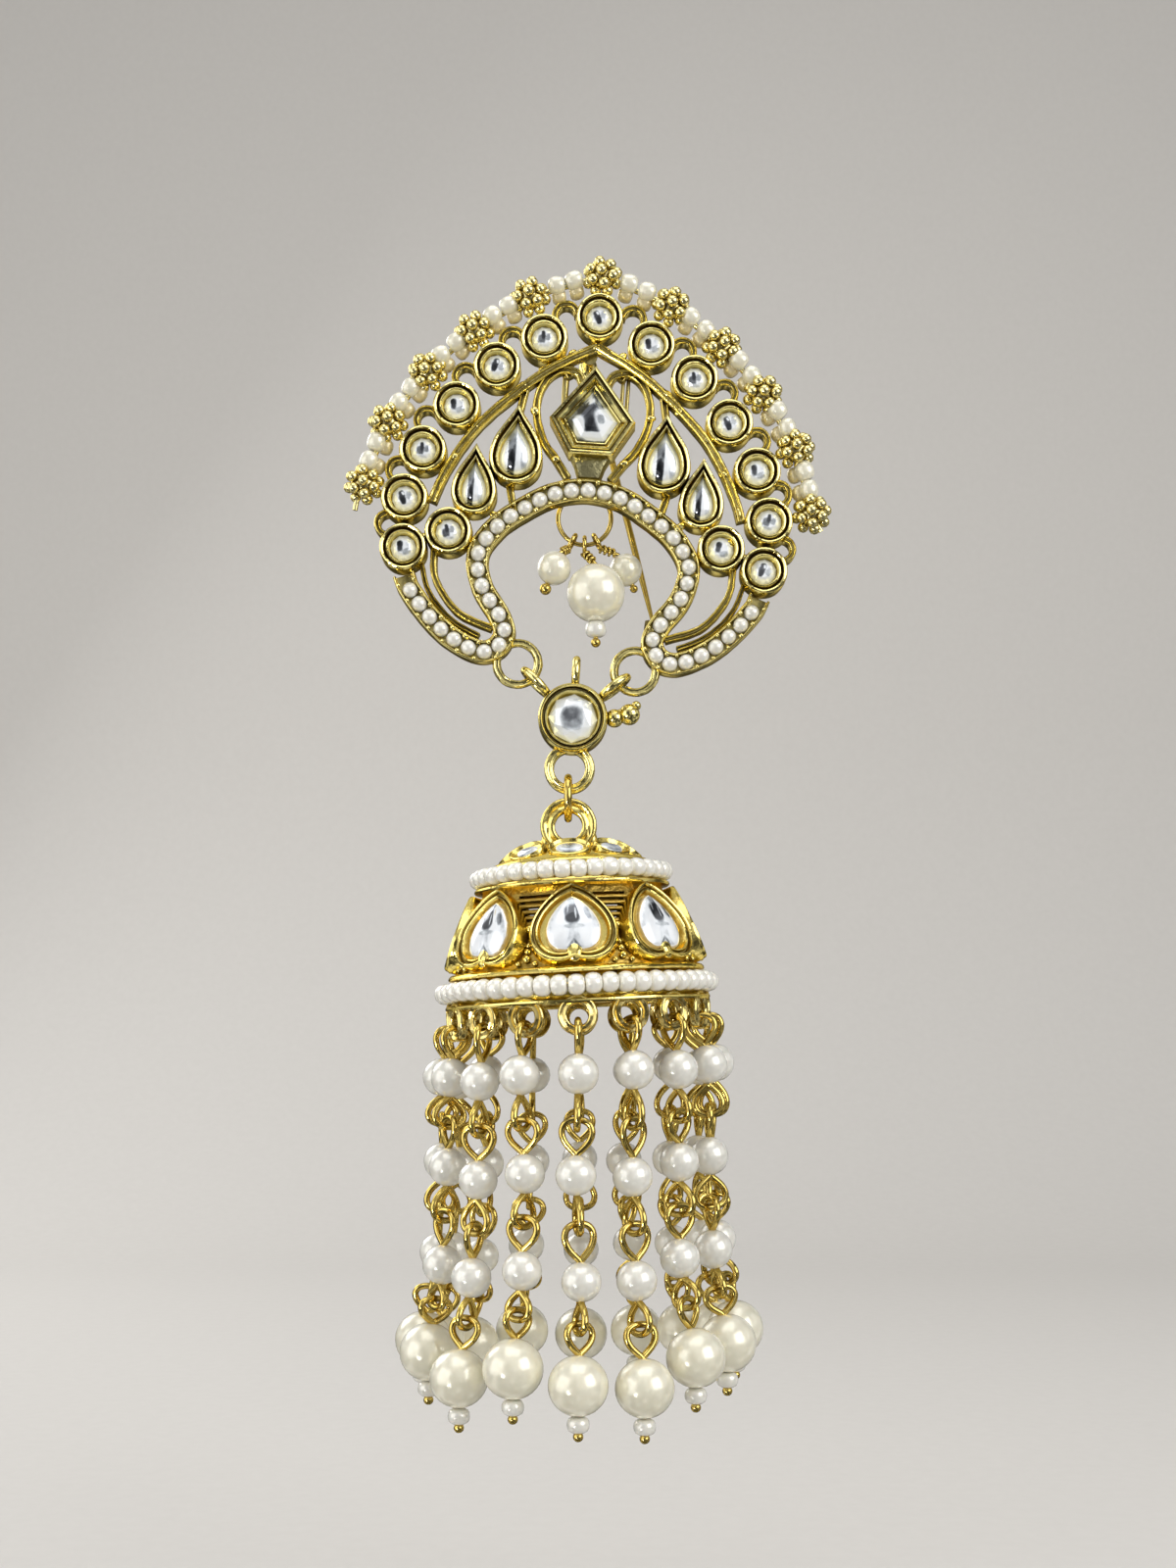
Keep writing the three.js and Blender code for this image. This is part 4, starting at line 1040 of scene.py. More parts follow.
# Where each pearl is, where its eye holds the ring in degrees, the way down its pin, and the sizes below it.
CLUSTER_PEARLS = [
    {"name": "large", "at": (0.3, -17.8, 0.7), "radius": 3.0, "eye_at": -90, "down": (0, -1, 0), "seed": 1.1,
     "ball": 0.5},
    {"name": "left", "at": (-4.0, -15.0, -0.1), "radius": 1.75, "eye_at": -118, "down": (-0.38, -0.92, 0),
     "seed": 0, "ball": 0.6},
    {"name": "right", "at": (3.4, -14.8, -1.7), "radius": 1.7, "eye_at": -62, "down": (0.42, -0.9, -0.1),
     "seed": 0, "ball": 0.42},
]


def coil(start, end, radius, turns, steps=10):
    """A wire wound round a line."""
    along = (end - start).normalized()
    across = along.cross(Vector((0.3, 0.2, 1))).normalized()
    beside = along.cross(across)
    count = int(turns * steps)
    return [
        start.lerp(end, i / count) + radius * (
            math.cos(2 * math.pi * i / steps) * across + math.sin(2 * math.pi * i / steps) * beside)
        for i in range(count + 1)]


def sit_on(direction, point):
    """A place with X along a direction."""
    along = Vector(direction).normalized()
    across = Vector((0.1, 0.2, 1)).cross(along).normalized()
    place = Matrix((along, across, along.cross(across))).transposed().to_4x4()
    place.translation = point
    return place


def pearl_ball(radius, sides=36, rows=16):
    """A pearl with a thread hole along X."""
    hole, profile = 0.17 * radius, []
    for i in range(rows + 1):
        turn = math.pi * i / rows
        profile.append((max(radius * math.sin(turn), hole * (0.8 if i in (0, rows) else 1)),
                        -radius * math.cos(turn) * (0.975 if i in (0, rows) else 1)))
    return turned(profile, sides)


ring_middle = Vector(CLUSTER["middle"])
hook_middle = ring_middle + flat(0, CLUSTER["radius"])
thin = CLUSTER["wire"]
cluster_metal = [
    wires([ring_route(ring_middle, CLUSTER["radius"], 48)], [CLUSTER["half"]], wire_gold, closed=True),
    wires([ring_route(hook_middle, HOOK["radius"], 24, (0, 0, 1))], [HOOK["half"]], wire_gold, closed=True)]
for row in CLUSTER_PEARLS:
    turn = math.radians(row["eye_at"])
    outward = flat(math.cos(turn), math.sin(turn))
    on_ring = ring_middle + CLUSTER["radius"] * outward
    centre, down = Vector(row["at"]), Vector(row["down"]).normalized()
    top = centre - row["radius"] * down
    foot = on_ring + CLUSTER["eye"] * outward
    neck = foot.lerp(top, 0.75)
    reach = row["radius"] + SEED_LENGTH * row["seed"] + row["ball"]
    ball_at = centre + down * reach
    eye = ring_route(on_ring, CLUSTER["eye"], 20, outward, (0, 0, 1))
    winding = coil(foot, neck, WINDING["radius"], WINDING["turns"])
    cluster_metal += [
        wires([eye], [thin], wire_gold, 8, closed=True),
        wires([[foot, neck, top, centre], [centre, ball_at]], [thin, thin], wire_gold, 8),
        wires([winding], [WINDING["half"]], wire_gold, 6),
        repeated(granule(row["ball"], 20, 12), [Matrix.Translation(ball_at)], wire_gold)]
    pearl = mesh_from("pearl", pearl_ball(row["radius"]), UPRIGHT @ sit_on(down, centre), crease=60)
    node = "cluster_pearl_" + row["name"]
    fit(node + "_ball", pearl, "head", "cream_pearl", node, material=cream_pearl)
    if row["seed"]:
        below = sit_on(down, centre + down * (row["radius"] + SEED_FALL * row["seed"]))
        hanging_seed = seed_bead(row["seed"], SEED_LENGTH * row["seed"], 24)
        hanging_seed.transform(UPRIGHT @ below)
        fit(node + "_seed", hanging_seed, "head", "cream_pearl", node, material=white_pearl)
fit("cluster_wires", joined("cluster_wires", cluster_metal, UPRIGHT), "head", "antique_gold", "cluster_ring",
    "cluster_pearl_large", "cluster_pearl_left", "cluster_pearl_right", material=wire_gold)

# ---- Connector ------------------------------------------------------------------------------
# One round cup with four cast rings: two link the horns, one stands up in front, one carries the jump ring.
# Two plain grains are soldered on at the right.

CONNECTOR = {"y": -31.0, "radius": 3.56}
LINK_OUT = 1.2
CONNECTOR_ROWS = [
    (0.15, -0.2), (0.02, -0.05), (0.0, 0.4), (0.0, 2.4), (0.06, 2.72), (0.18, 2.88), (0.3, 2.9),
    (0.42, 2.76), (0.46, 2.4), (0.5, 2.22), (0.6, 2.22), (0.64, 2.42), (0.74, 2.58), (0.86, 2.58),
    (0.94, 2.4), (1.0, 2.0), (1.04, 1.5), (1.1, 1.35)]
CONNECTOR_STONE_RADIUS = 2.52
CONNECTOR_CUT = [(0.0, 1.5, 0), (0.0, 1.8, 0), (0.5, 2.3, 1), (1.12, 2.6, 0)]
# Painted reflections of the connector's stone: dark and grey ovals over its middle.
CONNECTOR_PATCHES = [
    (1.5, 1.1, 0.5, 0.6, 40, 0.6), (-0.05, -0.05, 1.2, 1.3, 0, 0.36), (-0.2, 0.35, 0.8, 0.6, 20, 0.26),
    (0.3, -0.7, 0.6, 0.4, 0, 0.4), (-1.9, -0.6, 0.3, 0.8, 0, 0.55), (0.6, 1.9, 0.8, 0.25, 0, 0.56)]
# The side rings are a little thicker where they stand out in front and behind.
SIDE_RING = {"middle": (4.004, -27.457), "radius": 1.75, "turn": math.radians(48.5), "half": 0.38,
             "thicker": 0.05, "points": 32}
TOP_RING = {"y": -26.24, "radius": 1.4, "half": 0.4}
LOWER_RING = {"y": -36.1, "radius": 2.1}
GRAINS = [(4.25, -30.6, 0.95), (5.75, -30.1, 1.1), (6.4, -29.15, 0.5)]
GRAIN_STALK = {"route": [(3.2, -30.5), (4.7, -30.05), (5.2, -29.9)], "half": 0.42}

cup_shape = stacked(circle(CONNECTOR["radius"], 48), CONNECTOR_ROWS, middle=(0, CONNECTOR["y"]))
side_rings = []
for side in (1, -1):
    x, y = SIDE_RING["middle"]
    along = (side * math.sin(SIDE_RING["turn"]), math.cos(SIDE_RING["turn"]), 0)
    side_rings.append(ring_route(
        (side * x, y, LINK_OUT), SIDE_RING["radius"], SIDE_RING["points"], along, (0, 0, 1)))
side_halves = [
    SIDE_RING["half"] + SIDE_RING["thicker"] * math.sin(2 * math.pi * i / SIDE_RING["points"]) ** 2
    for i in range(SIDE_RING["points"])]
top_ring = ring_route((0, TOP_RING["y"], LINK_OUT), TOP_RING["radius"], 28, (0, 0, 1))
lower_ring = ring_route((0, LOWER_RING["y"], 0), LOWER_RING["radius"], 36)
grain_seats = [Matrix.Translation((x, y, LINK_OUT)) @ Matrix.Scale(size, 4) for x, y, size in GRAINS]
stalk = [flat(x, y, LINK_OUT) for x, y in GRAIN_STALK["route"]]
connector_shape = joined("connector_cup", [
    mesh_from("cup", cup_shape),
    wires(side_rings, [side_halves] * 2, antique_gold, 14, closed=True),
    wires([top_ring], [TOP_RING["half"]], antique_gold, 12, closed=True),
    bars([lower_ring], ridged(0.5, 0.7, 1.72, 0.2), closed=True),
    repeated(granule(1.0, 20, 12), grain_seats, antique_gold),
    wires([stalk], [GRAIN_STALK["half"]], antique_gold, 12),
], HEAD)
fit("connector_cup", connector_shape, "connector", "antique_gold", "connector", material=antique_gold)

connector_stone = cut_stone("connector_stone", CONNECTOR_STONE_RADIUS, CONNECTOR_CUT, 8, CONNECTOR_PATCHES)
connector_stone.transform(HEAD @ Matrix.Translation((0, CONNECTOR["y"], 0)))
fit("connector_stone_cut", connector_stone, "connector", "crystal", "connector_stone", material=crystal)

# ---- Jump ring ------------------------------------------------------------------------------
# Gilt round wire, bent to a ring until its cut ends nearly meet behind.
# It links the lower ring of the connector with the bail of the dome.

# The cut ends stop short of the seam by the gap on each side; both are in degrees.
JUMP_RING = {"radius": 2.1, "half": 0.4, "gap": 4, "seam": -150, "points": 41}
hang = FACING.inverted() @ Vector(joints["drop_sway"]["pos_m"]) / MM
jump_middle = hang + flat(0, JUMP_RING["radius"])
jump_turns = [
    math.radians(JUMP_RING["gap"] + (360 - 2 * JUMP_RING["gap"]) * i / (JUMP_RING["points"] - 1)
                 + JUMP_RING["seam"])
    for i in range(JUMP_RING["points"])]
jump_route = [
    jump_middle + JUMP_RING["radius"] * flat(0, math.sin(turn), math.cos(turn)) for turn in jump_turns]
jump_wire = wires([jump_route], [JUMP_RING["half"]], wire_gold, 14)
jump_wire.transform(UPRIGHT)
fit("jump_ring_wire", jump_wire, "jump_ring", "antique_gold", "jump_ring", material=wire_gold)

# ---- Dome -----------------------------------------------------------------------------------
# A cast brass bell under a double-ridged bail. Between two flanges its side is open in eight small windows,
# crossed by thin ribs, and sixteen fat rings under the lower flange carry the pearl strings.

DROP_LEAN = math.radians(-3.0)
# The drop is drawn upright, in millimetres, with its middle line on Y and the jump ring's contact at zero.
DROP = (Matrix.Translation(Vector(joints["drop_sway"]["pos_m"])) @ Matrix.Rotation(DROP_LEAN, 4, "Y")
        @ UPRIGHT)
UP_TURN = Matrix.Rotation(math.pi / 2, 4, "Z")
# Radius and height of the crown with its flange, and of the two lower flanges, round to the inside.
CAP_ROWS = [
    (0.02, -2.5), (2.2, -2.55), (2.9, -2.7), (5.6, -3.72), (8.3, -4.8), (8.42, -5.0), (8.4, -6.7),
    (8.6, -6.92), (9.75, -7.0), (9.95, -7.08), (10.0, -7.24), (9.92, -7.4), (9.3, -7.52), (9.0, -7.62),
    (8.7, -7.5), (7.4, -5.6), (0.02, -3.7)]
FOOT_ROWS = [
    (12.55, -15.55), (12.85, -15.62), (13.05, -15.8), (13.12, -16.0), (13.05, -16.15), (12.5, -16.35),
    (12.32, -16.6), (12.32, -18.4), (12.5, -18.62), (13.35, -18.72), (13.52, -18.82), (13.55, -19.0),
    (13.45, -19.18), (13.2, -19.25), (11.9, -19.25), (11.75, -19.1), (11.7, -15.9), (11.9, -15.6)]
DRUM = {"top": -7.45, "bottom": -15.75, "top_radius": 9.5, "bottom_radius": 12.72, "wall": 0.8,
        "set_back": 0.35}
# Each window is a triangle with its point down, and half its top is so many degrees wide.
WINDOW = {"top": -8.35, "foot": -12.4, "half_turn": 10.5}
# A panel is an eighth of the drum, in nine upright strips. The window is in the middle one.
PANEL = {"half_turn": 22.5, "strips": 9, "open_strip": 4}
PANEL_HEIGHTS = [
    DRUM["top"], -7.9, WINDOW["top"], -9.0, -9.8, -10.7, -11.6, WINDOW["foot"], -13.5, DRUM["bottom"]]
# Height and half length of the ribs across a window.
RIBS = [(-8.7, 1.8), (-9.3, 1.6), (-9.9, 1.4), (-10.5, 1.1), (-11.1, 0.8)]
RIB = {"half": 0.25, "set_back": -0.45}
# Grains of metal between two hearts: across, height, how far out, and radius.
TIES = [
    (0, -11.75, -0.1, 0.42), (-0.65, -11.7, -0.3, 0.3), (0.65, -11.7, -0.3, 0.3), (0, -13.3, -0.25, 0.3),
    (0, -13.95, -0.2, 0.36), (0, -14.7, -0.15, 0.42), (-0.9, -15.1, -0.2, 0.3), (0.9, -15.1, -0.2, 0.3)]
RIM_LOOPS = {"count": 16, "radius": 13.0, "y": -20.35, "ring": 1.48}
BAIL = {"y": -0.8, "radius": 2.15}
# The feet of the bail: how far across, height, and half thickness.
BAIL_LEG = [(2.1, -0.9, 0.5), (2.2, -1.7, 0.56), (2.3, -2.4, 0.62), (2.5, -3.0, 0.75)]
dome_gold = gold_finish("dome_gold", (0.95, 0.77, 0.24), (0.10, 0.05, 0.006), 1.1, 0.17, 0.35, (0.3, 0.85))
drum_slope = math.atan2(DRUM["bottom_radius"] - DRUM["top_radius"], DRUM["top"] - DRUM["bottom"])
EIGHTHS = [Matrix.Rotation(2 * math.pi * k / 8, 4, "Y") for k in range(8)]
BETWEEN_EIGHTHS = [Matrix.Rotation(2 * math.pi * (k + 0.5) / 8, 4, "Y") for k in range(8)]


def drum_radius(y):
    """The radius of the drum's slope at a height."""
    share = (DRUM["top"] - y) / (DRUM["top"] - DRUM["bottom"])
    return DRUM["top_radius"] + share * (DRUM["bottom_radius"] - DRUM["top_radius"])


def drum_panel():
    """An eighth of the sloping side, with one window in it."""
    shape = bmesh.new()
    edge, middle = PANEL["half_turn"], PANEL["open_strip"]
    shells = []
    for wall in (0.0, DRUM["wall"]):
        rows = []
        for y in PANEL_HEIGHTS:
            radius = drum_radius(y) - wall - DRUM["set_back"]
            span = (WINDOW["foot"] - y) / (WINDOW["foot"] - WINDOW["top"])
            gap = WINDOW["half_turn"] * min(max(span, 0.02), 1.0)
            left = [-edge + (edge - gap) * i / middle for i in range(middle + 1)]
            row = []
            for turn in left + [-turn for turn in reversed(left)]:
                angle = math.radians(turn)
                row.append(shape.verts.new((radius * math.sin(angle), y, radius * math.cos(angle))))
            rows.append(row)
        shells.append(rows)
    outer, inner = shells
    for i, y in enumerate(PANEL_HEIGHTS[:-1]):
        for j in range(PANEL["strips"]):
            if j == middle and WINDOW["top"] >= y > WINDOW["foot"]:
                for a in (middle, middle + 1):
                    shape.faces.new((outer[i][a], outer[i + 1][a], inner[i + 1][a], inner[i][a]))
                continue
            shape.faces.new((outer[i][j], outer[i + 1][j], outer[i + 1][j + 1], outer[i][j + 1]))
            shape.faces.new((inner[i][j], inner[i][j + 1], inner[i + 1][j + 1], inner[i + 1][j]))
    for i in (PANEL_HEIGHTS.index(WINDOW["top"]), PANEL_HEIGHTS.index(WINDOW["foot"])):
        shape.faces.new((outer[i][middle], outer[i][middle + 1], inner[i][middle + 1], inner[i][middle]))
    for i in (0, -1):
        for j in range(PANEL["strips"]):
            shape.faces.new((outer[i][j], outer[i][j + 1], inner[i][j + 1], inner[i][j]))
    return mesh_from("panel", shape, crease=40)


def grooved(half, deep, dip):
    """A bar's section with two rounded ridges in front and two behind."""
    quarter = [(half, deep - 0.24), (0.86 * half, deep - 0.05), (0.6 * half, deep), (0.3 * half, deep - 0.1)]
    front = quarter + [(0, deep - dip)] + [(-across, out) for across, out in reversed(quarter)]
    return front + [(-across, -out) for across, out in front]


def on_drum(y, out=0.0):
    """A place on the front of the drum, with Z straight out of its slope."""
    foot = Matrix.Translation((0, y, drum_radius(y)))
    return foot @ Matrix.Rotation(-drum_slope, 4, "X") @ Matrix.Translation((0, 0, out))


bail_ring = ring_route((0, BAIL["y"], 0), BAIL["radius"], 36)
bail_legs = [[flat(side * x, y) for x, y, half in BAIL_LEG] for side in (1, -1)]
tie_seats = [
    on_drum(y, out) @ Matrix.Translation((x, 0, 0)) @ Matrix.Scale(size, 4) for x, y, out, size in TIES]
ties = repeated(granule(1.0, 12, 8), tie_seats, dome_gold)
dome_metal = joined("dome_metal", [
    mesh_from("cap", turned(CAP_ROWS, 96, place=UP_TURN)),
    mesh_from("foot", turned(FOOT_ROWS, 96, closed=True, place=UP_TURN)),
    repeated(ties, BETWEEN_EIGHTHS, dome_gold),
    bars([bail_ring], grooved(0.75, 0.65, 0.25), closed=True),
    wires(bail_legs, [[half for x, y, half in BAIL_LEG]] * 2, dome_gold, 14),
], DROP)
fit("dome_metal", uneven(dome_metal), "drop", "antique_gold", "dome", material=dome_gold)

# The rings take a darker gold, whose painted shade in recesses reaches far between them.
loop_gold = gold_finish("loop_gold", (0.84, 0.68, 0.26), (0.08, 0.045, 0.008), 1.6, 0.18, 0.35, (0.3, 0.95))
loop_mesh = bars([ring_route((0, 0, 0), RIM_LOOPS["ring"], 36)], grooved(0.47, 0.44, 0.17), closed=True)
loop_seats = [
    Matrix.Rotation(2 * math.pi * k / RIM_LOOPS["count"], 4, "Y")
    @ Matrix.Translation((0, RIM_LOOPS["y"], RIM_LOOPS["radius"])) for k in range(RIM_LOOPS["count"])]
dome_loops = joined("dome_loops", [repeated(loop_mesh, loop_seats, loop_gold)], DROP)
fit("dome_loops", uneven(dome_loops), "drop", "antique_gold", "dome", material=loop_gold)

# The drum's panels and ribs take a much darker copy of the dome's gold: painted shade under the flange and
# between the hearts, with painted shade in recesses reaching far.
old_gold = gold_finish("old_gold", (0.48, 0.32, 0.07), (0.015, 0.010, 0.002), 2.4, 0.3, 1.0, (0.4, 1.05))
rib_routes = [[on_drum(y, RIB["set_back"]) @ flat(x, 0) for x in (-half, 0, half)] for y, half in RIBS]
ribs = wires(rib_routes, [RIB["half"]] * len(RIBS), old_gold, 8)
panels = joined("dome_panels", [
    repeated(mesh, BETWEEN_EIGHTHS, old_gold) for mesh in (drum_panel(), ribs)], DROP)
fit("dome_panels", panels, "drop", "antique_gold", "dome", material=old_gold)

# ---- Set stones of the dome -----------------------------------------------------------------
# Eight hearts, point up, stand round the side in deep cups with two rims, over yellow foil.
# Eight small ovals in plain cups stand round the crown.

HEART = {"width": 8.6, "height": 8.5, "y": -11.65}
HEART_ROWS = [
    (0.15, -0.75), (0.0, -0.6), (0.0, 0.7), (0.05, 0.96), (0.16, 1.09), (0.28, 1.04), (0.36, 0.8),
    (0.42, 0.66), (0.52, 0.66), (0.58, 0.82), (0.68, 0.92), (0.8, 0.86), (0.9, 0.62), (0.98, 0.42),
    (1.05, 0.3), (1.45, 0.26)]
# The heart stones are a little narrower, taller and lower than the floor of their cups.
HEART_STONE = {"inset": 1.34, "reach": 2.4, "girdle": 0.5, "rise": 0.7, "ground": 0.58}
HEART_STONE_FORM = Matrix.Translation((0, -0.08, 0)) @ Matrix.Diagonal((0.92, 1.09, 1, 1))
# Painted reflections of the heart stones; the last oval is the foil showing in the notch.
HEART_PATCHES = [
    (-1.35, -0.5, 0.85, 1.4, -14, 0.78), (1.4, -0.8, 0.75, 1.2, 14, 0.78), (0.1, -0.4, 1.2, 0.22, 0, 0.5),
    (0.05, 2.1, 0.5, 0.8, 0, 0.42), (-0.1, 0.8, 0.8, 0.9, 0, 0.1), (-0.45, 1.6, 0.08, 0.7, -10, 0.45),
    (0.72, 1.2, 0.16, 1.1, 18, 0.86), (0.3, 0.9, 0.1, 0.6, 4, 0.5), (1.5, 0.9, 0.26, 0.7, 24, 0.34),
    (-0.5, -2.25, 0.14, 0.8, -38, 0.34), (0.5, -2.25, 0.14, 0.8, 38, 0.34), (0.0, -2.8, 0.42, 0.75, 0, 1.0)]
# The two small prongs that close the notch of each heart are cast as one grain.
NOTCH_GRAIN = Matrix.Translation((0, -3.0, 0.6)) @ Matrix.Diagonal((0.8, 1.05, 0.42, 1))
OVAL = {"width": 4.3, "height": 3.3, "y": -3.75, "radius": 5.85, "lift": math.radians(54)}
OVAL_ROWS = [
    (0.1, -0.6), (0.0, -0.5), (0.0, 0.28), (0.06, 0.42), (0.16, 0.47), (0.26, 0.4), (0.34, 0.2), (0.5, 0.1),
    (0.7, 0.05)]
OVAL_STONE = {"inset": 0.76, "reach": 0.78, "girdle": 0.15, "rise": 0.3}


def heart(inset):
    """A heart with its point up and its notch at the foot."""
    half, height = HEART["width"] / 2 - inset, HEART["height"] - 2.2 * inset
    right = bezier((0, 0.5 * height), (0.5 * half, 0.42 * height), (half, 0.1 * height),
                   (half, -0.12 * height), 10)
    right += bezier((half, -0.12 * height), (half, -0.42 * height), (0.5 * half, -0.54 * height),
                    (0, -0.42 * height), 10)
    left = [(-x, y) for x, y in right[:0:-1]]
    return right + [(0, -0.42 * height)] + left


def oval(inset):
    """An oval that lies across."""
    wide, high = OVAL["width"] / 2 - inset, OVAL["height"] / 2 - inset
    turns = [2 * math.pi * i / 28 for i in range(28)]
    return [(wide * math.cos(turn), high * math.sin(turn)) for turn in turns]


def heart_tone(point):
    """Painted reflections, dark above the middle and a white lobe on each side, with foil showing at the
    edge and in the notch.
    """
    edge = min(max((0.8 - point.z) / 0.08, 0), 1)
    shade = painted(point, HEART_STONE["ground"], HEART_PATCHES)
    return shade + (1 - shade) * edge


def oval_tone(point):
    """Painted reflection, dark in the middle and lighter to both ends."""
    return 0.34 + 0.22 * abs(point.x)


heart_place = on_drum(HEART["y"], -0.2)
heart_seats = [DROP @ turn @ heart_place for turn in EIGHTHS]
oval_place = Matrix.Translation((0, OVAL["y"], OVAL["radius"])) @ Matrix.Rotation(-OVAL["lift"], 4, "X")
oval_seats = [DROP @ turn @ oval_place for turn in EIGHTHS]
notch_seats = [seat @ NOTCH_GRAIN for seat in heart_seats]
stone_cups = joined("dome_cups", [
    repeated(mesh_from("heart_cup", stacked(heart, HEART_ROWS)), heart_seats, dome_gold),
    repeated(mesh_from("oval_cup", stacked(oval, OVAL_ROWS)), oval_seats, dome_gold),
    repeated(granule(1.0, 10, 8), notch_seats, dome_gold)])
fit("dome_cups", uneven(stone_cups, 0.9, 0.02), "drop", "antique_gold", "dome", material=dome_gold)
heart_stone = domed_stone(
    "heart_stone", heart, HEART_STONE["inset"], HEART_STONE["reach"], HEART_STONE["girdle"],
    HEART_STONE["rise"], heart_tone, cuts=2)
heart_stone.transform(HEART_STONE_FORM)
oval_stone = domed_stone(
    "oval_stone", oval, OVAL_STONE["inset"], OVAL_STONE["reach"], OVAL_STONE["girdle"], OVAL_STONE["rise"],
    oval_tone)
for k, seat in enumerate(heart_seats):
    fit(f"heart_stone_{k + 1}_cut", repeated(heart_stone, [seat], crystal), "drop", "crystal",
        f"heart_stone_{k + 1}")
fit("oval_stones", repeated(oval_stone, oval_seats, crystal), "drop", "crystal", "dome")

# ---- Bead rings of the dome -----------------------------------------------------------------
# White seed pearls lie in the groove above each flange, 38 in the upper and 52 in the lower.
# Each row is threaded on a thin gilt wire, which holds it against the brass.

BEAD_RINGS = [
    {"node": "upper_pearl_ring", "y": -5.95, "radius": 9.6, "count": 38, "bead": 0.93, "length": 1.6},
    {"node": "lower_pearl_ring", "y": -17.4, "radius": 13.55, "count": 52, "bead": 1.04, "length": 1.65},
]
# The bead rings take a lighter copy of the pearl finish: painted light for the strong light on the flanges.
ring_pearl = pearl_finish("ring_pearl", (1.0, 0.98, 0.91), (0.96, 0.93, 0.82))
random.seed(21)
for row in BEAD_RINGS:
    route = ring_route((0, row["y"], 0), row["radius"], 120, (1, 0, 0), (0, 0, 1))
    seats = [
        DROP @ place @ Matrix.Translation((0, random.uniform(-0.05, 0.05), random.uniform(-0.05, 0.05)))
        @ Matrix.Rotation(random.uniform(-0.07, 0.07), 4, "Z") @ Matrix.Scale(random.uniform(0.97, 1.02), 4)
        for place in spaced(route, row["count"], closed=True, turn_out=(0, 1, 0))]
    bead = seed_bead(row["bead"], row["length"])
    fit(row["node"] + "_beads", repeated(bead, seats, ring_pearl), "drop", "white_pearl", row["node"])
    thread = wires([[DROP @ point for point in route]], [0.25 * MM], wire_gold, 6, closed=True)
    fit(row["node"] + "_thread", thread, "drop", "antique_gold", row["node"], material=wire_gold)

# ---- Pearl strings --------------------------------------------------------------------------
# Sixteen strings hang plumb from the rings of the dome. Each has three pearls on eyepins, linked eye to eye,
# and ends in a large pearl, a seed pearl and the ball of its headpin.

# Radii of the pearls and the ball, and half the wire's thickness.
PEARL, END_PEARL, BALL = 1.95, 2.88, 0.5
EYE_WIRE = 0.34
STRING_SEED = {"radius": 1.08, "length": 1.5, "sides": 20}
# From the ring of the dome to the first pearl, from pearl to pearl, from the last of them to the end pearl,
# and from there to the seed pearl and to the ball.
FIRST_DROP, PITCH, END_PITCH, SEED_DROP, BALL_DROP = 5.7, 9.55, 9.65, 3.62, 4.75
PLAIN_LENGTH = FIRST_DROP + 2 * PITCH + END_PITCH + BALL_DROP + BALL
# How far outside its ring each pearl hangs, and how far it may stray from there.
REACHES = [0.9, 0.9, 1.4, 3.1]
STRAYS = [0.35, 0.42, 0.42, 0.2]
# Where the first eye passes over its ring, and how far linked eyes overlap.
EYE_TOP = -0.55
LINK_OVERLAP = 0.95
FIRST_EYE_WIDTH, EYE_WIDTHS = 2.8, (2.7, 3.3)
# Half an eye, in shares of its half width and of its length.
EYE_SHAPE = [
    (0, -0.25), (0.05, 0.02), (0.32, 0.14), (0.78, 0.36), (1.0, 0.62), (0.86, 0.85), (0.46, 0.97), (0, 1.0)]


def eye_route(start, end, turn, width):
    """A wire eye that leaves a pearl at its start, and is widest a little past its middle."""
    along = (end - start).normalized()
    across = along.cross(Vector((math.sin(turn), 0, math.cos(turn)))).normalized()
    length = (end - start).length
    right = [start + along * (length * rise) + across * (0.5 * width * out) for out, rise in EYE_SHAPE]
    left = [start + along * (length * rise) - across * (0.5 * width * out)
            for out, rise in EYE_SHAPE[-2::-1]]
    return smooth_route(right + left, steps=3)


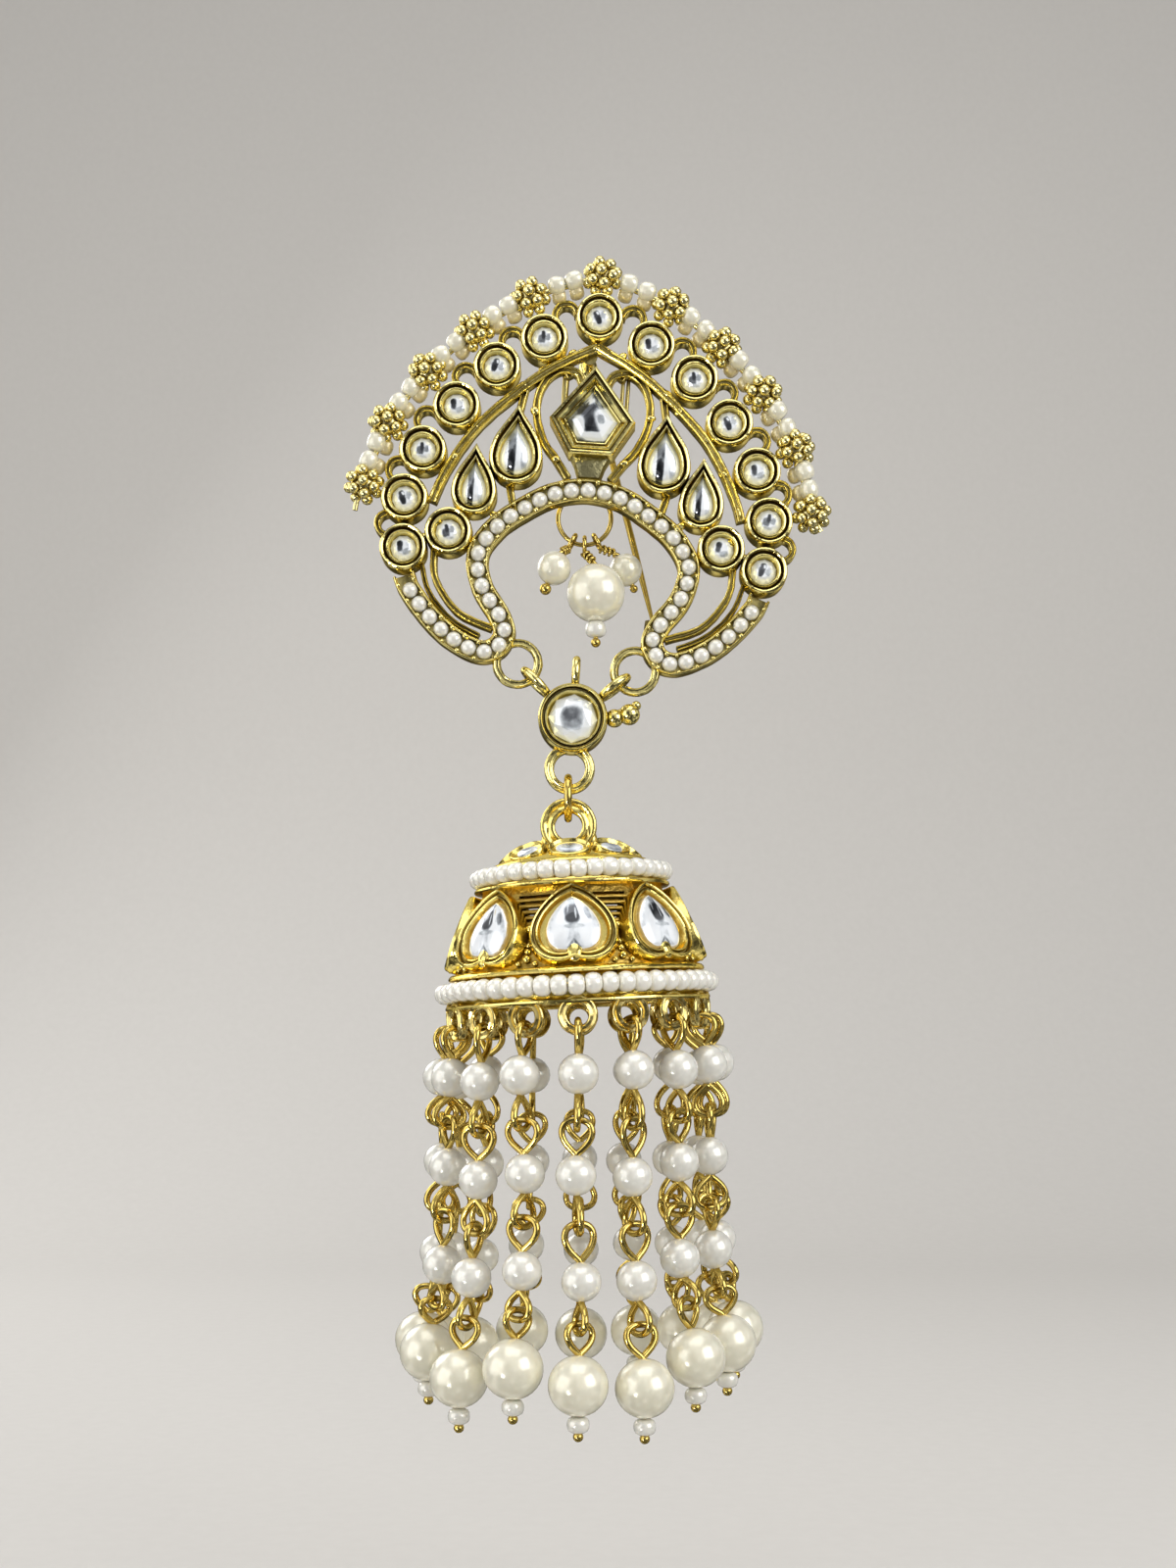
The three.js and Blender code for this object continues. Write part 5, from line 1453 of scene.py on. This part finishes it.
random.seed(33)
string_eyes, string_pearls, end_pearls, string_seeds, string_balls = [], [], [], [], []
string_nodes = [f"pearl_string_{k + 1:02d}" for k in range(RIM_LOOPS["count"])]
for k, node in enumerate(string_nodes):
    loop_at = DROP @ loop_seats[k].to_translation()
    slack = ((loop_at.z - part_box(node)[0].z) / MM - PLAIN_LENGTH) / 3
    place = (Matrix.Translation(loop_at) @ Matrix.Rotation(2 * math.pi * k / len(string_nodes), 4, "Z")
             @ UPRIGHT)
    heights = [-FIRST_DROP - i * (PITCH + slack) for i in range(3)]
    heights.append(heights[-1] - END_PITCH - slack)
    centres = [flat(0, EYE_TOP)] + [
        flat(random.uniform(-stray, stray), height + random.uniform(-stray, stray),
             reach + random.uniform(-stray, stray))
        for height, reach, stray in zip(heights, REACHES, STRAYS)]
    radii = [0, PEARL, PEARL, PEARL, END_PEARL]
    turn = math.pi / 2 + random.uniform(-0.5, 0.5)
    for i in range(1, 5):
        above, here = centres[i - 1], centres[i]
        down = (here - above).normalized()
        neck = here - down * (radii[i] - 0.05)
        if i == 1:
            string_eyes.append([place @ p for p in eye_route(neck, above, turn, FIRST_EYE_WIDTH)])
        else:
            start = above + down * (radii[i - 1] - 0.05)
            middle = start.lerp(neck, 0.5)
            string_eyes.append([place @ p for p in eye_route(
                start, middle + down * LINK_OVERLAP / 2, turn, random.uniform(*EYE_WIDTHS))])
            turn += math.pi / 2 + random.uniform(-0.25, 0.25)
            string_eyes.append([place @ p for p in eye_route(
                neck, middle - down * LINK_OVERLAP / 2, turn, random.uniform(*EYE_WIDTHS))])
            turn += math.pi / 2 * random.randint(0, 1) + random.uniform(-0.3, 0.3)
        pearls = end_pearls if i == 4 else string_pearls
        pearls.append(place @ sit_on(-down, here) @ Matrix.Rotation(random.uniform(0, 6), 4, "X")
                      @ Matrix.Scale(random.uniform(0.98, 1.01), 4))
    last = centres[-1]
    string_seeds.append(place @ sit_on((0, 1, 0), last + flat(0, -SEED_DROP)))
    string_balls.append(place @ Matrix.Translation(last + flat(0, -BALL_DROP)))
string_metal = joined("string_metal", [
    wires(string_eyes, [EYE_WIRE * MM] * len(string_eyes), wire_gold, 8),
    repeated(granule(BALL, 14, 9), string_balls, wire_gold)])
fit("string_metal", string_metal, "drop", "antique_gold", *string_nodes, material=wire_gold)
pearl_mesh = mesh_from("pearl", pearl_ball(PEARL, 26, 12), crease=60)
end_pearl_mesh = mesh_from("end_pearl", pearl_ball(END_PEARL), crease=60)
fit("string_pearls", repeated(pearl_mesh, string_pearls, white_pearl), "drop", "white_pearl", *string_nodes)
fit("string_end_pearls", repeated(end_pearl_mesh, end_pearls, cream_pearl), "drop", "cream_pearl",
    *string_nodes)
fit("string_seeds", repeated(seed_bead(**STRING_SEED), string_seeds, white_pearl), "drop", "white_pearl",
    *string_nodes)

# ---- Camera, light and stage ----------------------------------------------------------------
# The camera stands a little under the middle of the brooch and looks up at it.
# Soft boxes stand in front, above and behind. A plain pale sheet lies below and curves up at the back.

EYE = Vector((-0.0005, -0.192, -0.064))
AIM = Vector((-0.0005, -0.002, -0.0617))
MIDDLE = Vector((0, 0, -0.04))

camera_data = bpy.data.cameras.new("camera")
camera_data.lens = 42.75
camera_data.sensor_width = 36
camera_data.shift_y = 0.15
camera_data.clip_start = 0.01
camera = bpy.data.objects.new("camera", camera_data)
camera.location = EYE
camera.rotation_euler = (AIM - EYE).to_track_quat("-Z", "Y").to_euler()
scene_objects.link(camera)
bpy.context.scene.camera = camera
bpy.context.scene.view_settings.view_transform = "Standard"


def soft_box(name, place, size, power):
    """A square white light that faces the brooch. Its power is in watts."""
    data = bpy.data.lights.new(name, "AREA")
    data.shape, data.size, data.energy = "SQUARE", size, power
    box = bpy.data.objects.new(name, data)
    box.location = place
    box.rotation_euler = (MIDDLE - Vector(place)).to_track_quat("-Z", "Y").to_euler()
    scene_objects.link(box)


soft_box("left", (-0.42, -0.22, 0.0), 0.45, 0.9)
soft_box("right", (0.36, -0.30, 0.12), 0.34, 1.1)
soft_box("above", (0.0, -0.10, 0.45), 0.45, 0.9)
soft_box("low_left", (-0.21, -0.30, -0.20), 0.08, 0.6)
soft_box("behind", (-0.35, 0.30, 0.20), 0.30, 0.8)

world = bpy.data.worlds.new("studio")
bpy.context.scene.world = world
world.use_nodes = True
sky = Graph(world.node_tree)
sky_shader = world.node_tree.nodes["Background"]
direction = sky.node("ShaderNodeTexCoord", out="Generated")
height = sky.node("ShaderNodeSeparateXYZ", {}, direction, out="Z")
seen = sky.node("ShaderNodeLightPath", out="Is Camera Ray")
panels_of_light = sky.node("ShaderNodeTexNoise", {}, direction, Scale=2.3, Detail=1.0)
lit = sky.node("ShaderNodeMapRange", {"interpolation_type": "SMOOTHSTEP"}, panels_of_light + height * 0.06,
               From_Min=0.43, From_Max=0.6, To_Min=0.05, To_Max=0.66)
tint = sky.node("ShaderNodeMix", {"data_type": "RGBA"}, seen, A=(1.0, 0.99, 0.97), B=(0.62, 0.61, 0.59))
sky.feed(sky_shader.inputs["Color"], tint)
sky.feed(sky_shader.inputs["Strength"], seen + (1 - seen) * lit)

FLOOR, WALL, BEND = -0.13, 0.55, 0.2
sweep = [(y, FLOOR) for y in (-0.6, -0.2, 0.1)]
sweep += [(WALL - BEND + BEND * math.sin(math.radians(t)), FLOOR + BEND - BEND * math.cos(math.radians(t)))
          for t in range(0, 91, 6)]
sweep.append((WALL, 1.2))
backdrop_shape = bmesh.new()
strips = [[backdrop_shape.verts.new((x, y, z)) for x in (-1.5, 1.5)] for y, z in sweep]
for low, high in zip(strips, strips[1:]):
    backdrop_shape.faces.new((low[0], low[1], high[1], high[0]))
backdrop_mesh = bpy.data.meshes.new("backdrop")
backdrop_shape.to_mesh(backdrop_mesh)
backdrop_shape.free()
backdrop_mesh.polygons.foreach_set("use_smooth", [True] * len(backdrop_mesh.polygons))
paper, paper_graph, paper_shader = finish("pale_paper", Roughness=0.9)
paper_place = paper_graph.node("ShaderNodeTexCoord", out="Object")
fibre = paper_graph.node("ShaderNodeTexNoise", {}, paper_place, Scale=400.0, Detail=3.0)
paper_graph.feed(paper_shader.inputs["Base Color"], paper_graph.node(
    "ShaderNodeMix", {"data_type": "RGBA"}, fibre, A=(0.72, 0.70, 0.67), B=(0.68, 0.66, 0.63)))
backdrop_mesh.materials.append(paper)
backdrop = bpy.data.objects.new("backdrop", backdrop_mesh)
scene_objects.link(backdrop)
backdrop.visible_glossy = False
